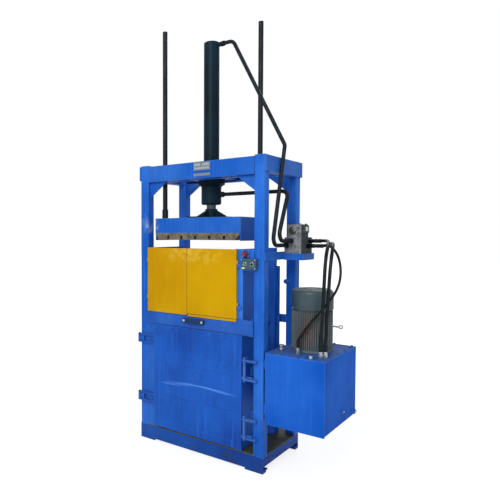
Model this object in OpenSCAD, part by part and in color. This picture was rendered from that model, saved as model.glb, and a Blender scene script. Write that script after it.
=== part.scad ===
/* [Frame] */
// Depth over the four posts
frame_d = 550; // [530:5:600]
// Height of the posts above the floor
frame_h = 2100; // [2000:10:2300]
// Width of a post, along the machine's width
post_w = 75; // [60:1:85]
// Depth of a post, along the machine's depth
post_d = 70; // [60:1:72]
// Wall of a post tube
post_wall = 5; // [3:1:8]
// Outside corner radius of a post tube
post_round = 8; // [6:1:12]
// Thickness of the four foot plates
foot_t = 12; // [8:1:16]
// Length of a foot plate along the machine's width
foot_l = 135; // [100:5:180]
// Width of a foot plate along the machine's depth
foot_w = 50; // [40:2:68]
// Height of the front and rear base channels
base_h = 96; // [80:2:120]
// Steel thickness of the base channels
base_t = 8; // [6:1:10]
// Height of the side base channels, which hang from the same top
base_side_h = 65; // [50:1:80]
// Width of the flanges of the side base channels
base_side_w = 60; // [50:2:70]

/* [Top ring] */
// Height of the front cross beam
front_beam_h = 117; // [100:1:130]
// Height of the rear cross beam
rear_beam_h = 92; // [80:1:110]
// How far the top of the cross beams lies below the top of the posts
beam_drop = 8; // [4:1:14]
// Flange depth of the cross beams
beam_flange = 52; // [44:1:54]
// Steel thickness of the cross beams
beam_t = 8; // [6:1:10]
// Height of the side beams
side_beam_h = 105; // [90:1:120]
// Thickness of the side beam web that laps over the posts
side_beam_t = 12; // [8:1:14]
// How far the side beams and the valve rail stand out behind the posts
side_over = 4; // [0:1:8]
// Gusset leg along the beam
gusset_w = 155; // [120:5:180]
// Gusset leg down the post
gusset_h = 113; // [90:1:140]
// Gusset plate thickness
gusset_t = 10; // [6:1:12]

/* [Press] */
// Outside diameter of the cylinder barrel
barrel_d = 115; // [108:1:120]
// Bore of the cylinder
bore_d = 90; // [80:1:94]
// Diameter of the piston rod
rod_d = 70; // [50:1:72]
// How far the cylinder stands out above the plate that carries it
barrel_out = 977; // [940:1:1010]
// Thickness of the cylinder's end cap, which holds the upper port
cap_t = 45; // [40:1:55]
// Diameter of the cylinder head below the mounting plate
head_d = 148; // [140:1:156]
// Length of the cylinder head below the mounting plate
head_l = 184; // [176:1:200]
// Diameter of the mounting flange of the head
flange_d = 200; // [190:1:204]
// Thickness of the mounting flange
flange_t = 32; // [26:1:36]
// Thickness of the plate that carries the cylinder
mount_t = 24; // [20:1:28]
// Diameter of the two guide rods
guide_d = 36; // [28:1:38]
// How far the guide rods stand out above the mounting plate with the platen raised
guide_out = 1094; // [1070:2:1120]
// Distance of a guide rod's axis from the end of the platen
guide_end = 33.5; // [30:0.5:40]
// Distance of a guide rod's axis from the front or back of the platen
guide_side = 73; // [68:1:78]
// Height of the channels that hold the guide bushes
guide_bar_h = 36; // [30:1:60]
// Rod and foot that show between the cylinder head and the raised platen
rod_show = 100; // [90:1:120]
// Height of the platen body
platen_h = 110; // [100:1:120]
// Height of the ribbed pressing face under the platen
face_h = 50; // [44:1:56]
// Width of the tying grooves in the pressing face and the floor
groove_w = 22; // [16:1:28]
// Depth of the tying grooves in the pressing face
groove_h = 30; // [20:1:34]
// Number of tying grooves
groove_n = 5; // [3:1:6]

/* [Chamber] */
// Inside width of the bale chamber
chamber_w = 763; // [740:1:800]
// Room between the chamber and the left posts
room_left = 45.5; // [40:0.5:60]
// Room between the chamber and the right posts
room_right = 101.5; // [95:0.5:120]
// Steel thickness of the chamber walls
wall_t = 8; // [6:1:10]
// Height of the top of the side walls
wall_top = 1482; // [1470:2:1500]
// Height of the top of the rear wall
rear_top = 1350; // [1300:5:1400]
// Depth of the ribs between the rear wall and the rear posts
rear_rib_d = 34; // [24:1:50]
// Clearance between the platen and the side walls
platen_gap = 16; // [12:1:20]
// Height of the grooved floor block
floor_h = 34; // [28:1:40]
// Height of the underside of the belt beam
belt_z = 905; // [895:1:915]
// Height of the belt beam
belt_h = 103; // [95:1:110]
// Thickness of the belt beam plate
belt_t = 10; // [8:1:10]

/* [Doors] */
// Height of the underside of the lower door
door_z = 130; // [124:1:140]
// Depth of the lower door from its back to its front
door_t = 20; // [16:1:22]
// Depth of the pressed panels in the lower door
panel_depth = 6; // [4:1:8]
// Height of the top of the two feed leaves
leaf_top = 1480; // [1460:2:1490]
// Thickness of the folded edge of a feed leaf
leaf_t = 18; // [15:1:20]
// Seam between the feed leaves, from the middle of the frame
seam_x = -76; // [-100:1:-50]
// Diameter of the pins of the lower door
door_pin_d = 14; // [12:1:16]
// Outside diameter of the knuckles of the lower door
door_knuckle_d = 24; // [22:1:26]
// Thickness of the flat straps of the lower door
strap_t = 10; // [8:1:12]
// Diameter of the latch rods
latch_d = 20; // [16:1:22]
// Distance between the two lugs of a latch
latch_span = 126; // [110:2:140]
// Thickness of a latch lug
lug_t = 10; // [8:1:16]

/* [Controls] */
// Width of the control box
box_w = 112; // [100:1:116]
// Height of the control box
box_h = 70; // [60:1:76]
// Depth of the control box
box_d = 35; // [28:1:40]
// Diameter of the push buttons
button_d = 18; // [14:1:22]
// Diameter of the emergency stop head
estop_d = 30; // [26:1:34]

/* [Power unit] */
// Width of the oil tank
tank_w = 402; // [380:2:420]
// How far the tank stands out behind the frame
tank_back = 5; // [0:1:20]
// Height of the underside of the tank
tank_z = 350; // [340:5:360]
// Height of the tank body
tank_h = 455; // [440:5:470]
// Steel thickness of the tank
tank_t = 5; // [4:1:6]
// Thickness of the tank lid
lid_t = 6; // [5:1:8]
// Gap between the posts and the tank, filled by its mounting pads
tank_gap = 13; // [10:1:16]
// Diameter of the motor over its fins
motor_d = 266; // [250:2:270]
// Diameter of the motor's flange on the lid
motor_flange_d = 250; // [240:2:270]
// Height of the motor from its flange face to the top of its frame
motor_h = 289; // [270:1:300]
// Number of cooling fins
fin_n = 60; // [24:4:72]
// Depth of a cooling fin
fin_d = 15; // [10:1:18]
// Diameter of the fan cowl
cowl_d = 273; // [270:1:280]
// Height of the fan cowl
cowl_h = 131; // [124:1:150]
// Number of air slots in the fan cowl
slot_n = 24; // [12:2:30]
// Number of blades of the cooling fan
blade_n = 7; // [5:1:9]
// Diameter of the motor shaft
shaft_d = 38; // [28:1:42]
// Diameter of the steel pipes
pipe_d = 27; // [22:1:28]
// Radius of the bends in the steel pipes
bend_r = 50; // [40:1:60]
// Diameter of the two large hoses
hose_d = 22; // [18:1:24]
// Diameter of the thin hose
pilot_d = 16; // [14:1:18]
// Height of the shelf that carries the valve block
shelf_z = 1450; // [1440:2:1460]
// Width of the valve block
valve_w = 125; // [115:1:135]
// Depth of the valve block
valve_d = 172; // [160:1:180]

/* [Hidden] */
$fn = 48;

// Clearances
slip = 0.08;
seat = 0.05;
gap = 0.5;
through = 1;

// Frame, from the middle of its width and from its front face
frame_w = chamber_w + room_left + room_right + 2 * post_w;
half_w = frame_w / 2;
post_in = half_w - post_w;
rear_post_y = frame_d - post_d;
base_top = foot_t + base_h;
beam_top = frame_h - beam_drop;
front_beam_z = beam_top - front_beam_h;
rear_beam_z = beam_top - rear_beam_h;
side_beam_top = frame_h - 5;
side_beam_z = side_beam_top - side_beam_h;
side_flange = 60;
gusset_front_y = 30;
gusset_rear_y = frame_d - 45;
peg_x = post_in + 10;
peg_z = 1238;
peg_d = 34;
peg_l = 25;

// The origin is the middle of the footprint on the floor, under frame and tank together
front_reach = 42;
mid_x = -(tank_gap + tank_w) / 2;
front_y = -(frame_d - front_reach) / 2;

// Chamber
chamber_left = room_left - post_in;
chamber_right = post_in - room_right;
chamber_d = rear_post_y - rear_rib_d - wall_t;
floor_t = 8;
floor_top = base_top + floor_t;
groove_floor = 8;
wall_y = wall_t;
mouth_left = chamber_left + 43.5;
mouth_right = chamber_right - 40.5;
flange_right = chamber_right + 19.5;
side_rib_z = [300, 600, 940, 1300];
side_rib_h = 55;
side_rib_t = 16;
side_rib_y = 130;
stiffener_w = 42;
stiffener_d = 40;
rail_z = [300, 935];
middle_rib_z = 620;
rail_h = 55;
rail_d = 40;
rail_t = 6;
rear_end_gap = [3, 30];
panel_t = 6;
panel_below = 10;
belt_tab_t = 12;
belt_tab_d = 40;

// Press
press_x = (chamber_left + chamber_right) / 2;
press_y = (wall_t + chamber_d) / 2;
platen_w = chamber_w - 2 * platen_gap;
platen_front = wall_t + 4;
platen_back = chamber_d - 10;
guide_dx = platen_w / 2 - guide_end;
guide_dy = (platen_back - platen_front) / 2 - guide_side;
mount_top = rear_beam_z + beam_t;
mount_z = mount_top - mount_t;
mount_reach = 150;
carrier_top = beam_top - beam_t;
carrier_w = 48;
carrier_t = 7;
carrier_x = 75;
guide_bar_w = 56;
guide_bar_reach = guide_dx + 40;
guide_bar_short = 24;
guide_bar_z = mount_top - guide_bar_h;
guide_top = mount_top + guide_out;
bush_d = guide_d + 8;
bush_lip = 4;
barrel_top = mount_top + barrel_out;
flange_z = mount_z - flange_t;
head_z = mount_z - head_l;
head_cone = 22;
head_nose = 8;
socket_z = flange_z - head_cone;
edge = 3;
bolt_n = 8;
bolt_d = 14;
bolt_head_d = 22;
bolt_head_h = 9;
bolt_grip = 6;
bolt_r = (flange_d + head_d) / 4 + 2;
port_end = press_x + 100;
port_z = barrel_top - 23;
head_port_z = head_z + 72;
port_d = 32;
port_hole_d = 16;
piston_h = 80;
piston_top = barrel_top - cap_t - 10;
piston_z = piston_top - piston_h;
seal_z = [14, 38, 60];
seal_h = 8;
seal_in = 5;
spigot_d = rod_d - 20;
spigot_l = 48;
platen_top = head_z - rod_show;
foot_plate_w = 260;
foot_plate_t = 12;
foot_rise = 56;
foot_socket_d = rod_d + 22;
foot_rib_t = 14;
foot_lap = 6;
foot_rib_reach = 125;
collar_d = guide_d + 10;
collar_h = 68;
platen_z = platen_top - platen_h;
platen_wall = 10;
platen_cells = 3;
cheek = 4;
cheek_in = 8;
face_z = platen_z - face_h;
face_bevel = [35, 40];
groove_pitch = platen_w / (groove_n + 1);

// Lower door and its hinges
skin_gap = 2;
door_top = belt_z - 2;
door_left = mouth_left - 14;
door_right = flange_right + 5;
door_front = -skin_gap - door_t;
stile = [52, 67];
middle_stile = [(door_left + door_right) / 2 - 20, (door_left + door_right) / 2 + 59];
panel_z = [[door_z + 45, door_z + 257], [door_z + 365, door_z + 500], [door_z + 562, door_top - 35]];
panel_slope = 8;
boss_z = door_z + 430;
boss_d = 54;
boss_h = 8;
hinge_x = -half_w;
hinge_y = -16;
hinge_z = [332, 784];
knuckle_h = 44;
strap_far = knuckle_h / 2 + gap + strap_t;
strap_end = 14;
hinge_plate = 40;
pin_end = 3;
pin_head_d = 20;
pin_head_h = 4;

// Latches
latch_x = door_right + 20;
latch_y = -16;
latch_z = [220, 615];
lug_r = 15;
lug_lap = 35;
latch_end = 12;
cam_t = 12;
cam_d = 34;
cam_l = 54;
cam_in = 7;
cam_out = 18;
grip_d = 12;
grip_l = 44;
grip_lift = 8;

// Feed leaves
leaf_back = -2;
leaf_front = leaf_back - leaf_t;
leaf_sheet = 4;
leaf_left = 11 - post_in;
leaf_right = flange_right - 39;
seam_gap = 4;
leaf_z = belt_z + belt_h + 4;
leaf_lap = 12;
leaf_pin_d = 6;
leaf_knuckle_d = 11;
leaf_hinge_y = -13;
leaf_hinge_z = [1100, 1380];
leaf_knuckle_h = 24;
leaf_hinge_plate = 26;
leaf_axis = [leaf_left - 6, leaf_right + 6];
lip_h = 16;
lip_t = 6;
lip_z = belt_z + belt_h - lip_h;

// Handle on the belt beam
handle_x = -10;
handle_w = 179;
handle_h = 34;
handle_t = 8;
handle_off = 18;
handle_z = belt_z + 58;
handle_post = 77;
handle_post_d = 16;
handle_bolt_d = 20;
handle_bolt_h = 6;

// Controls
box_x = flange_right + 5;
box_z = 1350;
estop_x = box_x + 22;
estop_z = 1450;
estop_plate = [52, 44];
estop_base_d = 12;
estop_head_h = 13;
estop_lift = 9;
stem_d = 14;
stem_in = 4;
button_x = [box_x + 30, box_x + 82];
button_z = box_z + box_h / 2;
button_out = 7;
button_l = 21;

// Power unit
tank_x = half_w + tank_gap;
tank_d = frame_d + tank_back;
tank_right = tank_x + tank_w;
tank_top = tank_z + tank_h;
lid_top = tank_top + lid_t;
pad_in = 10;
pad_w = 50;
pad_h = 60;
pad_z = [400, 700];
skirt = 10;
drain_d = [34, 22];
drain_l = [12, 8];
drain_y = [tank_d - 40, tank_d - 257];
drain_z = [tank_z + 22, tank_z + 77];
filler_xy = [tank_x + 47, 140];
filler_d = [44, 36];
filler_h = [14, 38];
plug_xy = [tank_x + 302, 24];
plug_d = 26;
plug_h = 20;
motor_x = tank_x + tank_w / 2;
motor_y = tank_d / 2;
motor_top = lid_top + motor_h;
motor_flange_t = 18;
shield_d = 244;
shield_h = 22;
fin_root = motor_d / 2 - fin_d;
ear_w = 24;
terminal_in = 8;
terminal_w = 96;
terminal_d = 48;
terminal_z = lid_top + 119;
terminal_h = 85;
eye_z = lid_top + 172;
eye_x = motor_x + 194;
eye_in = 6;
eye_d = 28;
eye_t = 10;
eye_hole_d = 14;
eye_shank_d = 12;
cavity_z = lid_top + 50;
cavity_top = motor_top - 20;
cavity_d = 144;
rotor_d = 140;
rotor_in = 20;
cowl_z = motor_top - 12;
cowl_wall = 2;
cowl_round = 30;
slot_in = 36;
slot_l = 56;
slot_w = 6;
hub_z = motor_top + 14;
hub_d = 64;
hub_h = 44;
blade_l = 82;
blade_h = 38;
blade_t = 4;
bell_d = 180;
bell_flange_d = 230;
bell_flange_t = 14;
bell_wall = 10;
bell_z = tank_top - 165;
pump_z = tank_top - 285;
pump_shaft_d = 20;
pump_bore_z = pump_z + 30;
pump_w = 100;
pump_d = 111;
pump_cap = 12;
delivery_d = 16;
delivery_r = 36;
delivery_z = pump_z + 60;
coupling_d = 64;
coupling_z = tank_top - 137;
coupling_h = 102;
coupling_web = 8;
shaft_end = tank_top - 89;
strainer_d = 84;
strainer_z = tank_z + 22;
strainer_h = 90;
suction_d = 30;
pilot_xy = [half_w + 194, 100];
pressure_xy = [half_w + 352, 84];
return_xy = [half_w + 376, 102];
lid_hex_d = 27;
lid_hex_h = 22;
fitting_h = 40;

// Valve
valve_x = half_w + 10;
valve_y = 275;
manifold_h = 110;
valve_rail_t = 8;
valve_rail_z = [shelf_z - 42, shelf_z + 12];
shelf_t = 8;
shelf_lip = 37;
shelf_end = valve_x + valve_w + 15;
shelf_over = 5;
body_in = 22;
body_back = 3;
body_w = 100;
body_d = 112;
body_h = 88;
spool_z = 54;
spool_cap = [30, 50];
spool_l = [12, 45];
coil_in = 24;
coil_w = 66;
coil_z = [30, 80];
coil_out = 16;
port_out_y = [400, 434, 366];
port_out_z = [shelf_z + 85, shelf_z + 50, shelf_z + 50];
hex_l = 26;
hex_d = 30;
nipple_l = 17;
nipple_d = 25;
pipe_nut_d = 38;
pipe_nut_l = 24;
cap_in_z = shelf_z + 56;
gland_in_z = shelf_z + 86;

// Corners of the pipes
cap_pipe_x = half_w + side_beam_t + pipe_d / 2 + 2.5;
gland_pipe_x = cap_pipe_x + 34;
cap_corners = [[port_end, press_y, port_z], [port_end + 82, press_y, port_z],
               [cap_pipe_x, press_y + 9, side_beam_top + 87], [cap_pipe_x, 62, cap_in_z],
               [cap_pipe_x, valve_y - pipe_nut_l, cap_in_z]];
gland_corners = [[port_end, press_y, head_port_z], [gland_pipe_x, press_y, head_port_z],
                 [gland_pipe_x, 66, gland_in_z], [gland_pipe_x, valve_y - pipe_nut_l, gland_in_z]];
delivery_corners = [[motor_x, motor_y - pump_d / 2, delivery_z], [motor_x, pressure_xy[1], delivery_z],
                    [pressure_xy[0], pressure_xy[1], delivery_z], [pressure_xy[0], pressure_xy[1], lid_top]];

// Routes of the hoses, from the right side of the frame, its front and the floor
hose_x = valve_x + valve_w + hex_l + nipple_l - half_w;
hose_z = lid_top + fitting_h;
pressure_route = [[hose_x, port_out_y[0], port_out_z[0]], [hose_x + 28, port_out_y[0], port_out_z[0]],
                  [250, 385, 1537], [288, 342, 1535], [320, 276, 1526], [342, 212, 1504], [356, 156, 1466],
                  [363, 122, 1414], [365, 106, 1356], [365, 100, 1296], [363, 98, 1236], [360, 97, 1176],
                  [358, 96, 1116], [356, 95, 1056], [355, 92, 996], [353, 88, 940],
                  [352, 84, hose_z + 44], [352, 84, hose_z]];
return_route = [[hose_x, port_out_y[1], port_out_z[1]], [hose_x + 38, port_out_y[1], port_out_z[1]],
                [260, 416, 1508], [300, 372, 1517], [334, 312, 1519], [360, 250, 1508], [378, 194, 1480],
                [388, 152, 1432], [391, 130, 1376], [390, 121, 1316], [388, 118, 1256], [385, 117, 1196],
                [382, 116, 1136], [380, 115, 1076], [378, 112, 1016], [377, 108, 956],
                [376, 102, hose_z + 49], [376, 102, hose_z]];
pilot_route = [[hose_x, port_out_y[2], port_out_z[2]], [hose_x + 40, port_out_y[2], port_out_z[2]],
               [268, 348, 1506], [316, 308, 1502], [362, 262, 1482], [402, 220, 1446], [430, 188, 1396],
               [442, 168, 1338], [438, 156, 1278], [418, 150, 1222], [388, 146, 1172], [354, 142, 1124],
               [318, 136, 1080], [284, 130, 1038], [252, 122, 994], [222, 111, 946],
               [194, 100, hose_z + 44], [194, 100, hose_z]];

// Puts its children at a place given from the middle of the frame, its front face and the floor
module at(x, y, z) {
    translate([mid_x + x, front_y + y, z]) children();
}

// A block between two corners, given in the same way
module slab(low, high) {
    at(low[0], low[1], low[2]) cube(high - low);
}

// An upright cylinder by its diameter and its two heights
module post_rod(x, y, z0, z1, d) {
    at(x, y, z0) cylinder(h = z1 - z0, d = d);
}

// A cylinder that lies along the depth, from y0 back to y1
module rod_y(x, z, y0, y1, d) {
    at(x, y0, z) rotate([-90, 0, 0]) cylinder(h = y1 - y0, d = d);
}

// A cylinder that lies along the width, from x0 to x1
module rod_x(y, z, x0, x1, d) {
    at(x0, y, z) rotate([0, 90, 0]) cylinder(h = x1 - x0, d = d);
}

// Outline of a rounded rectangle about its middle
module rounded(w, d, r) {
    polygon([for (c = [0:3]) for (i = [0:4])
        let (a = 90 * c + 22.5 * i, sx = (c == 0 || c == 3) ? 1 : -1, sy = (c < 2) ? 1 : -1)
        [sx * (w / 2 - r) + r * cos(a), sy * (d / 2 - r) + r * sin(a)]]);
}

// Section of a channel with its web on the axis of x, its flanges pointing to +x
module channel_section(depth, height, t) {
    polygon([[0, 0], [depth, 0], [depth, t], [t, t], [t, height - t], [depth, height - t],
             [depth, height], [0, height]]);
}

// Channel along the width with its web in front
module channel_x(x0, x1, y, z, depth, height, t) {
    at(x0, y, z) rotate([90, 0, 90]) linear_extrude(x1 - x0) channel_section(depth, height, t);
}

// The same channel with its web behind, where y is the back of the web
module channel_x_back(x0, x1, y, z, depth, height, t) {
    at(x0, y, z) rotate([90, 0, 90]) linear_extrude(x1 - x0) mirror([1, 0]) channel_section(depth, height, t);
}

// Channel along the depth; side is 1 where its flanges point to +x and -1 where they point to -x
module channel_y(x, y0, y1, z, side, depth, height, t) {
    at(x, y1, z) rotate([90, 0, 0]) linear_extrude(y1 - y0)
        mirror([side < 0 ? 1 : 0, 0]) channel_section(depth, height, t);
}

function unit(v) = v / norm(v);
function tangent(path, i) = unit(path[min(i + 1, len(path) - 1)] - path[max(i - 1, 0)]);
function start_normal(t) = unit(cross(t, abs(t[2]) > 0.9 ? [0, 1, 0] : [0, 0, 1]));
function carried(n, t) = unit(n - (n * t) * t);
function normals(path, i = 0, n = [0, 0, 0]) = i >= len(path) ? [] :
    let (t = tangent(path, i), m = i == 0 ? start_normal(t) : carried(n, t))
    concat([m], normals(path, i + 1, m));

// Points of the arc that rounds the corner b of a run from a by b to c
function corner_arc(a, b, c, r, steps) =
    let (u = unit(a - b), v = unit(c - b), half = acos(u * v) / 2, sweep = 180 - 2 * half,
         centre = b + unit(u + v) * r / sin(half),
         first = b + u * r / tan(half) - centre, last = b + v * r / tan(half) - centre)
    [for (i = [0:steps])
        centre + (sin((1 - i / steps) * sweep) * first + sin(i / steps * sweep) * last) / sin(sweep)];

// A run of straight lengths, with a round bend at each inner corner
function bent(points, r, steps) = concat([points[0]],
    [for (i = [1:len(points) - 2]) each corner_arc(points[i - 1], points[i], points[i + 1], r, steps)],
    [points[len(points) - 1]]);

// A tube swept along a route, with flat ends
module swept_tube(path, d, sides) {
    n = normals(path);
    last = len(path) - 1;
    points = [for (i = [0:last]) let (b = cross(tangent(path, i), n[i]))
        for (k = [0:sides - 1]) path[i] + d / 2 * (cos(360 * k / sides) * n[i] + sin(360 * k / sides) * b)];
    skin = [for (i = [0:last - 1]) for (k = [0:sides - 1]) let (j = (k + 1) % sides)
        [i * sides + k, (i + 1) * sides + k, (i + 1) * sides + j, i * sides + j]];
    caps = [[for (k = [0:sides - 1]) k], [for (k = [sides - 1:-1:0]) last * sides + k]];
    at(0, 0, 0) polyhedron(points = points, faces = concat(skin, caps), convexity = 6);
}

module base_frame() {
    color("royalblue") {
        channel_x(-half_w, half_w, 0, foot_t, post_d, base_h, base_t);
        channel_x_back(-half_w, half_w, frame_d, foot_t, post_d, base_h, base_t);
        for (side = [-1, 1])
            channel_y(side * half_w, base_t, frame_d - base_t, base_top - base_side_h, -side,
                      base_side_w, base_side_h, base_t);
        for (side = [-1, 1]) for (y = [0, frame_d - foot_w])
            slab([side < 0 ? -half_w : half_w - foot_l, y, 0],
                 [side < 0 ? foot_l - half_w : half_w, y + foot_w, foot_t]);
    }
}

module corner_posts() {
    color("royalblue") {
        for (side = [-1, 1]) for (y = [post_d / 2, frame_d - post_d / 2])
            at(side * (half_w - post_w / 2), y, base_top) difference() {
                linear_extrude(frame_h - base_top) rounded(post_w, post_d, post_round);
                translate([0, 0, -through]) linear_extrude(frame_h - base_top - post_wall + through)
                    square([post_w - 2 * post_wall, post_d - 2 * post_wall], center = true);
            }
        rod_y(peg_x, peg_z, rear_post_y - peg_l, rear_post_y, peg_d);
    }
}

module top_ring() {
    color("royalblue") {
        channel_x(-post_in, post_in, 0, front_beam_z, beam_flange, front_beam_h, beam_t);
        channel_x_back(-post_in, post_in, frame_d, rear_beam_z, beam_flange, rear_beam_h, beam_t);
        for (side = [-1, 1]) {
            slab([side < 0 ? -half_w - side_beam_t : half_w, 0, side_beam_z],
                 [side < 0 ? -half_w : half_w + side_beam_t, frame_d + side_over, side_beam_top]);
            for (z = [side_beam_z, side_beam_top - beam_t])
                slab([side < 0 ? -half_w : half_w - side_flange, post_d, z],
                     [side < 0 ? side_flange - half_w : half_w, rear_post_y, z + beam_t]);
        }
    }
}

// A triangular plate in the corner between a post and a beam; side is -1 on the left
module gusset(side, y, z) {
    at(side * post_in, y + gusset_t, z) rotate([90, 0, 0]) linear_extrude(gusset_t)
        polygon([[0, 0], [-side * gusset_w, 0], [0, -gusset_h]]);
}

module corner_gussets() {
    color("royalblue") for (side = [-1, 1]) {
        gusset(side, gusset_front_y, front_beam_z);
        gusset(side, gusset_rear_y, rear_beam_z);
    }
}

// Puts its children on each bolt of the cylinder's flange
module flange_circle() {
    for (i = [0:bolt_n - 1])
        at(press_x, press_y, 0) rotate([0, 0, (i + 0.5) * 360 / bolt_n]) translate([bolt_r, 0, 0]) children();
}

module cylinder_mount() {
    front_bar = press_y - guide_dy - (guide_bar_w + beam_t) / 2;
    rear_bar = press_y + guide_dy + (guide_bar_w + beam_t) / 2;
    color("royalblue") difference() {
        union() {
            for (side = [-1, 1])
                channel_y(press_x + side * carrier_x, beam_t, frame_d - beam_t, mount_top, side, carrier_w,
                          carrier_top - mount_top, carrier_t);
            slab([press_x - mount_reach, front_bar + guide_bar_w, mount_z],
                 [press_x + mount_reach, rear_bar - guide_bar_w, mount_top]);
            channel_x(press_x - guide_bar_reach, press_x + guide_bar_reach - guide_bar_short, front_bar,
                      guide_bar_z, guide_bar_w, guide_bar_h, beam_t);
            channel_x_back(press_x - guide_bar_reach + guide_bar_short, press_x + guide_bar_reach, rear_bar,
                           guide_bar_z, guide_bar_w, guide_bar_h, beam_t);
        }
        post_rod(press_x, press_y, mount_z - through, mount_top + through, barrel_d + 2 * gap);
        for (side = [-1, 1])
            post_rod(press_x + side * guide_dx, press_y + side * guide_dy, guide_bar_z - through,
                     mount_top + through, bush_d + 2 * seat);
        flange_circle() translate([0, 0, mount_z - through])
            cylinder(h = mount_t - bolt_grip + through, d = bolt_d + 2 * slip);
    }
}

module guide_bushes() {
    color("peru") for (side = [-1, 1])
        knuckle(press_x + side * guide_dx, press_y + side * guide_dy, guide_bar_z - bush_lip,
                guide_bar_h + 2 * bush_lip, bush_d, guide_d + 2 * slip);
}

module left_wall() {
    color("royalblue") {
        slab([chamber_left - wall_t, wall_y, floor_top], [chamber_left, chamber_d, wall_top]);
        difference() {
            slab([gap - post_in, 0, floor_top], [mouth_left, wall_y, wall_top]);
            slab([-post_in, -through, belt_z - gap], [belt_tab_t + gap - post_in, wall_y + through,
                                                      belt_z + belt_h + gap]);
        }
        for (z = side_rib_z)
            slab([chamber_left - wall_t - side_rib_t, side_rib_y, z],
                 [chamber_left - wall_t, chamber_d, z + side_rib_h]);
    }
}

module right_wall() {
    color("royalblue") {
        slab([chamber_right, wall_y, floor_top], [chamber_right + wall_t, chamber_d, wall_top]);
        slab([mouth_right, 0, floor_top], [flange_right, wall_y, wall_top]);
        slab([flange_right, 0, box_z - panel_below], [post_in, panel_t, wall_top]);
        slab([chamber_right + wall_t, chamber_d - stiffener_d, floor_top],
             [chamber_right + wall_t + stiffener_w, chamber_d, wall_top]);
        for (i = [0:2])
            slab([chamber_right + wall_t, side_rib_y, side_rib_z[i]],
                 [chamber_right + wall_t + side_rib_t, chamber_d - stiffener_d, side_rib_z[i] + side_rib_h]);
    }
}

module rear_wall() {
    color("royalblue") {
        slab([rear_end_gap[0] - post_in, chamber_d, floor_top],
             [post_in - rear_end_gap[1], chamber_d + wall_t, rear_top]);
        for (z = [rail_z[0], middle_rib_z, rail_z[1], rear_top - rail_h])
            slab([chamber_left, chamber_d + wall_t, z], [chamber_right, rear_post_y, z + rail_h]);
    }
}

module rear_rails() {
    color("royalblue") for (z = rail_z)
        channel_x(-post_in, post_in, rear_post_y, z, rail_d, rail_h, rail_t);
}

module chamber_floor() {
    color("slategray") {
        slab([-half_w, post_d, base_top], [half_w, rear_post_y, floor_top]);
        slab([-post_in, 0, base_top], [post_in, frame_d, floor_top]);
        difference() {
            slab([chamber_left, wall_y, floor_top], [chamber_right, chamber_d, floor_top + floor_h]);
            for (i = [1:groove_n])
                slab([press_x - platen_w / 2 + i * groove_pitch - groove_w / 2, wall_y - through,
                      floor_top + groove_floor],
                     [press_x - platen_w / 2 + i * groove_pitch + groove_w / 2, chamber_d + through,
                      floor_top + floor_h + through]);
        }
    }
}

module belt_beam() {
    color("royalblue") {
        slab([-post_in, -belt_t, belt_z], [post_in, 0, belt_z + belt_h]);
        for (x = [-post_in, post_in - belt_tab_t])
            slab([x, 0, belt_z], [x + belt_tab_t, belt_tab_d, belt_z + belt_h]);
    }
}

module sill_strip() {
    color("goldenrod") slab([seam_x + lip_t, -belt_t - lip_t, lip_z],
                            [leaf_right - seam_gap, -belt_t, lip_z + lip_h]);
}

module belt_handle() {
    bar_y = -belt_t - handle_off;
    color("midnightblue") {
        slab([handle_x - handle_w / 2, bar_y - handle_t, handle_z - handle_h / 2],
             [handle_x + handle_w / 2, bar_y, handle_z + handle_h / 2]);
        for (side = [-1, 1])
            rod_y(handle_x + side * handle_post, handle_z, bar_y, -belt_t, handle_post_d);
    }
    color("silver") for (side = [-1, 1])
        rod_y(handle_x + side * handle_post, handle_z, bar_y - handle_t - handle_bolt_h, bar_y - handle_t,
              handle_bolt_d);
}

module valve_rail() {
    front = valve_y - shelf_over;
    back = valve_y + valve_d + shelf_over;
    color("royalblue") {
        slab([half_w, 0, valve_rail_z[0]], [half_w + valve_rail_t, frame_d + side_over, valve_rail_z[1]]);
        slab([half_w + valve_rail_t, front, shelf_z - shelf_t], [shelf_end, back, shelf_z]);
        slab([half_w + valve_rail_t, front, shelf_z - shelf_t - shelf_lip],
             [shelf_end, front + shelf_t, shelf_z - shelf_t]);
        slab([shelf_end - shelf_t, front + shelf_t, shelf_z - shelf_t - shelf_lip],
             [shelf_end, back, shelf_z - shelf_t]);
    }
}

// A round piece with a bore, standing on its own height
module knuckle(x, y, z, h, d, bore) {
    difference() {
        post_rod(x, y, z, z + h, d);
        post_rod(x, y, z - through, z + h + through, bore);
    }
}

module hinge_knuckles() {
    color("royalblue") {
        for (z = hinge_z) difference() {
            union() {
                post_rod(hinge_x, hinge_y, z - knuckle_h / 2, z + knuckle_h / 2, door_knuckle_d);
                slab([hinge_x, hinge_y, z - knuckle_h / 2], [hinge_x + hinge_plate, 0, z + knuckle_h / 2]);
            }
            post_rod(hinge_x, hinge_y, z - knuckle_h, z + knuckle_h, door_pin_d + 2 * seat);
        }
        for (x = leaf_axis) for (z = leaf_hinge_z) difference() {
            union() {
                post_rod(x, leaf_hinge_y, z - leaf_knuckle_h, z, leaf_knuckle_d);
                slab([x < 0 ? x - leaf_hinge_plate : x, leaf_hinge_y, z - leaf_knuckle_h],
                     [x < 0 ? x : x + leaf_hinge_plate, 0, z]);
            }
            post_rod(x, leaf_hinge_y, z - leaf_knuckle_h - through, z + through, leaf_pin_d + 2 * seat);
        }
    }
}

module hinge_pins() {
    color("dimgray") {
        for (z = hinge_z) {
            post_rod(hinge_x, hinge_y, z - strap_far - pin_end, z + strap_far + gap, door_pin_d);
            post_rod(hinge_x, hinge_y, z + strap_far + gap, z + strap_far + gap + pin_head_h, pin_head_d);
        }
        for (x = leaf_axis) for (z = leaf_hinge_z)
            post_rod(x, leaf_hinge_y, z - leaf_knuckle_h, z + gap + leaf_knuckle_h + pin_end, leaf_pin_d);
    }
}

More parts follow.
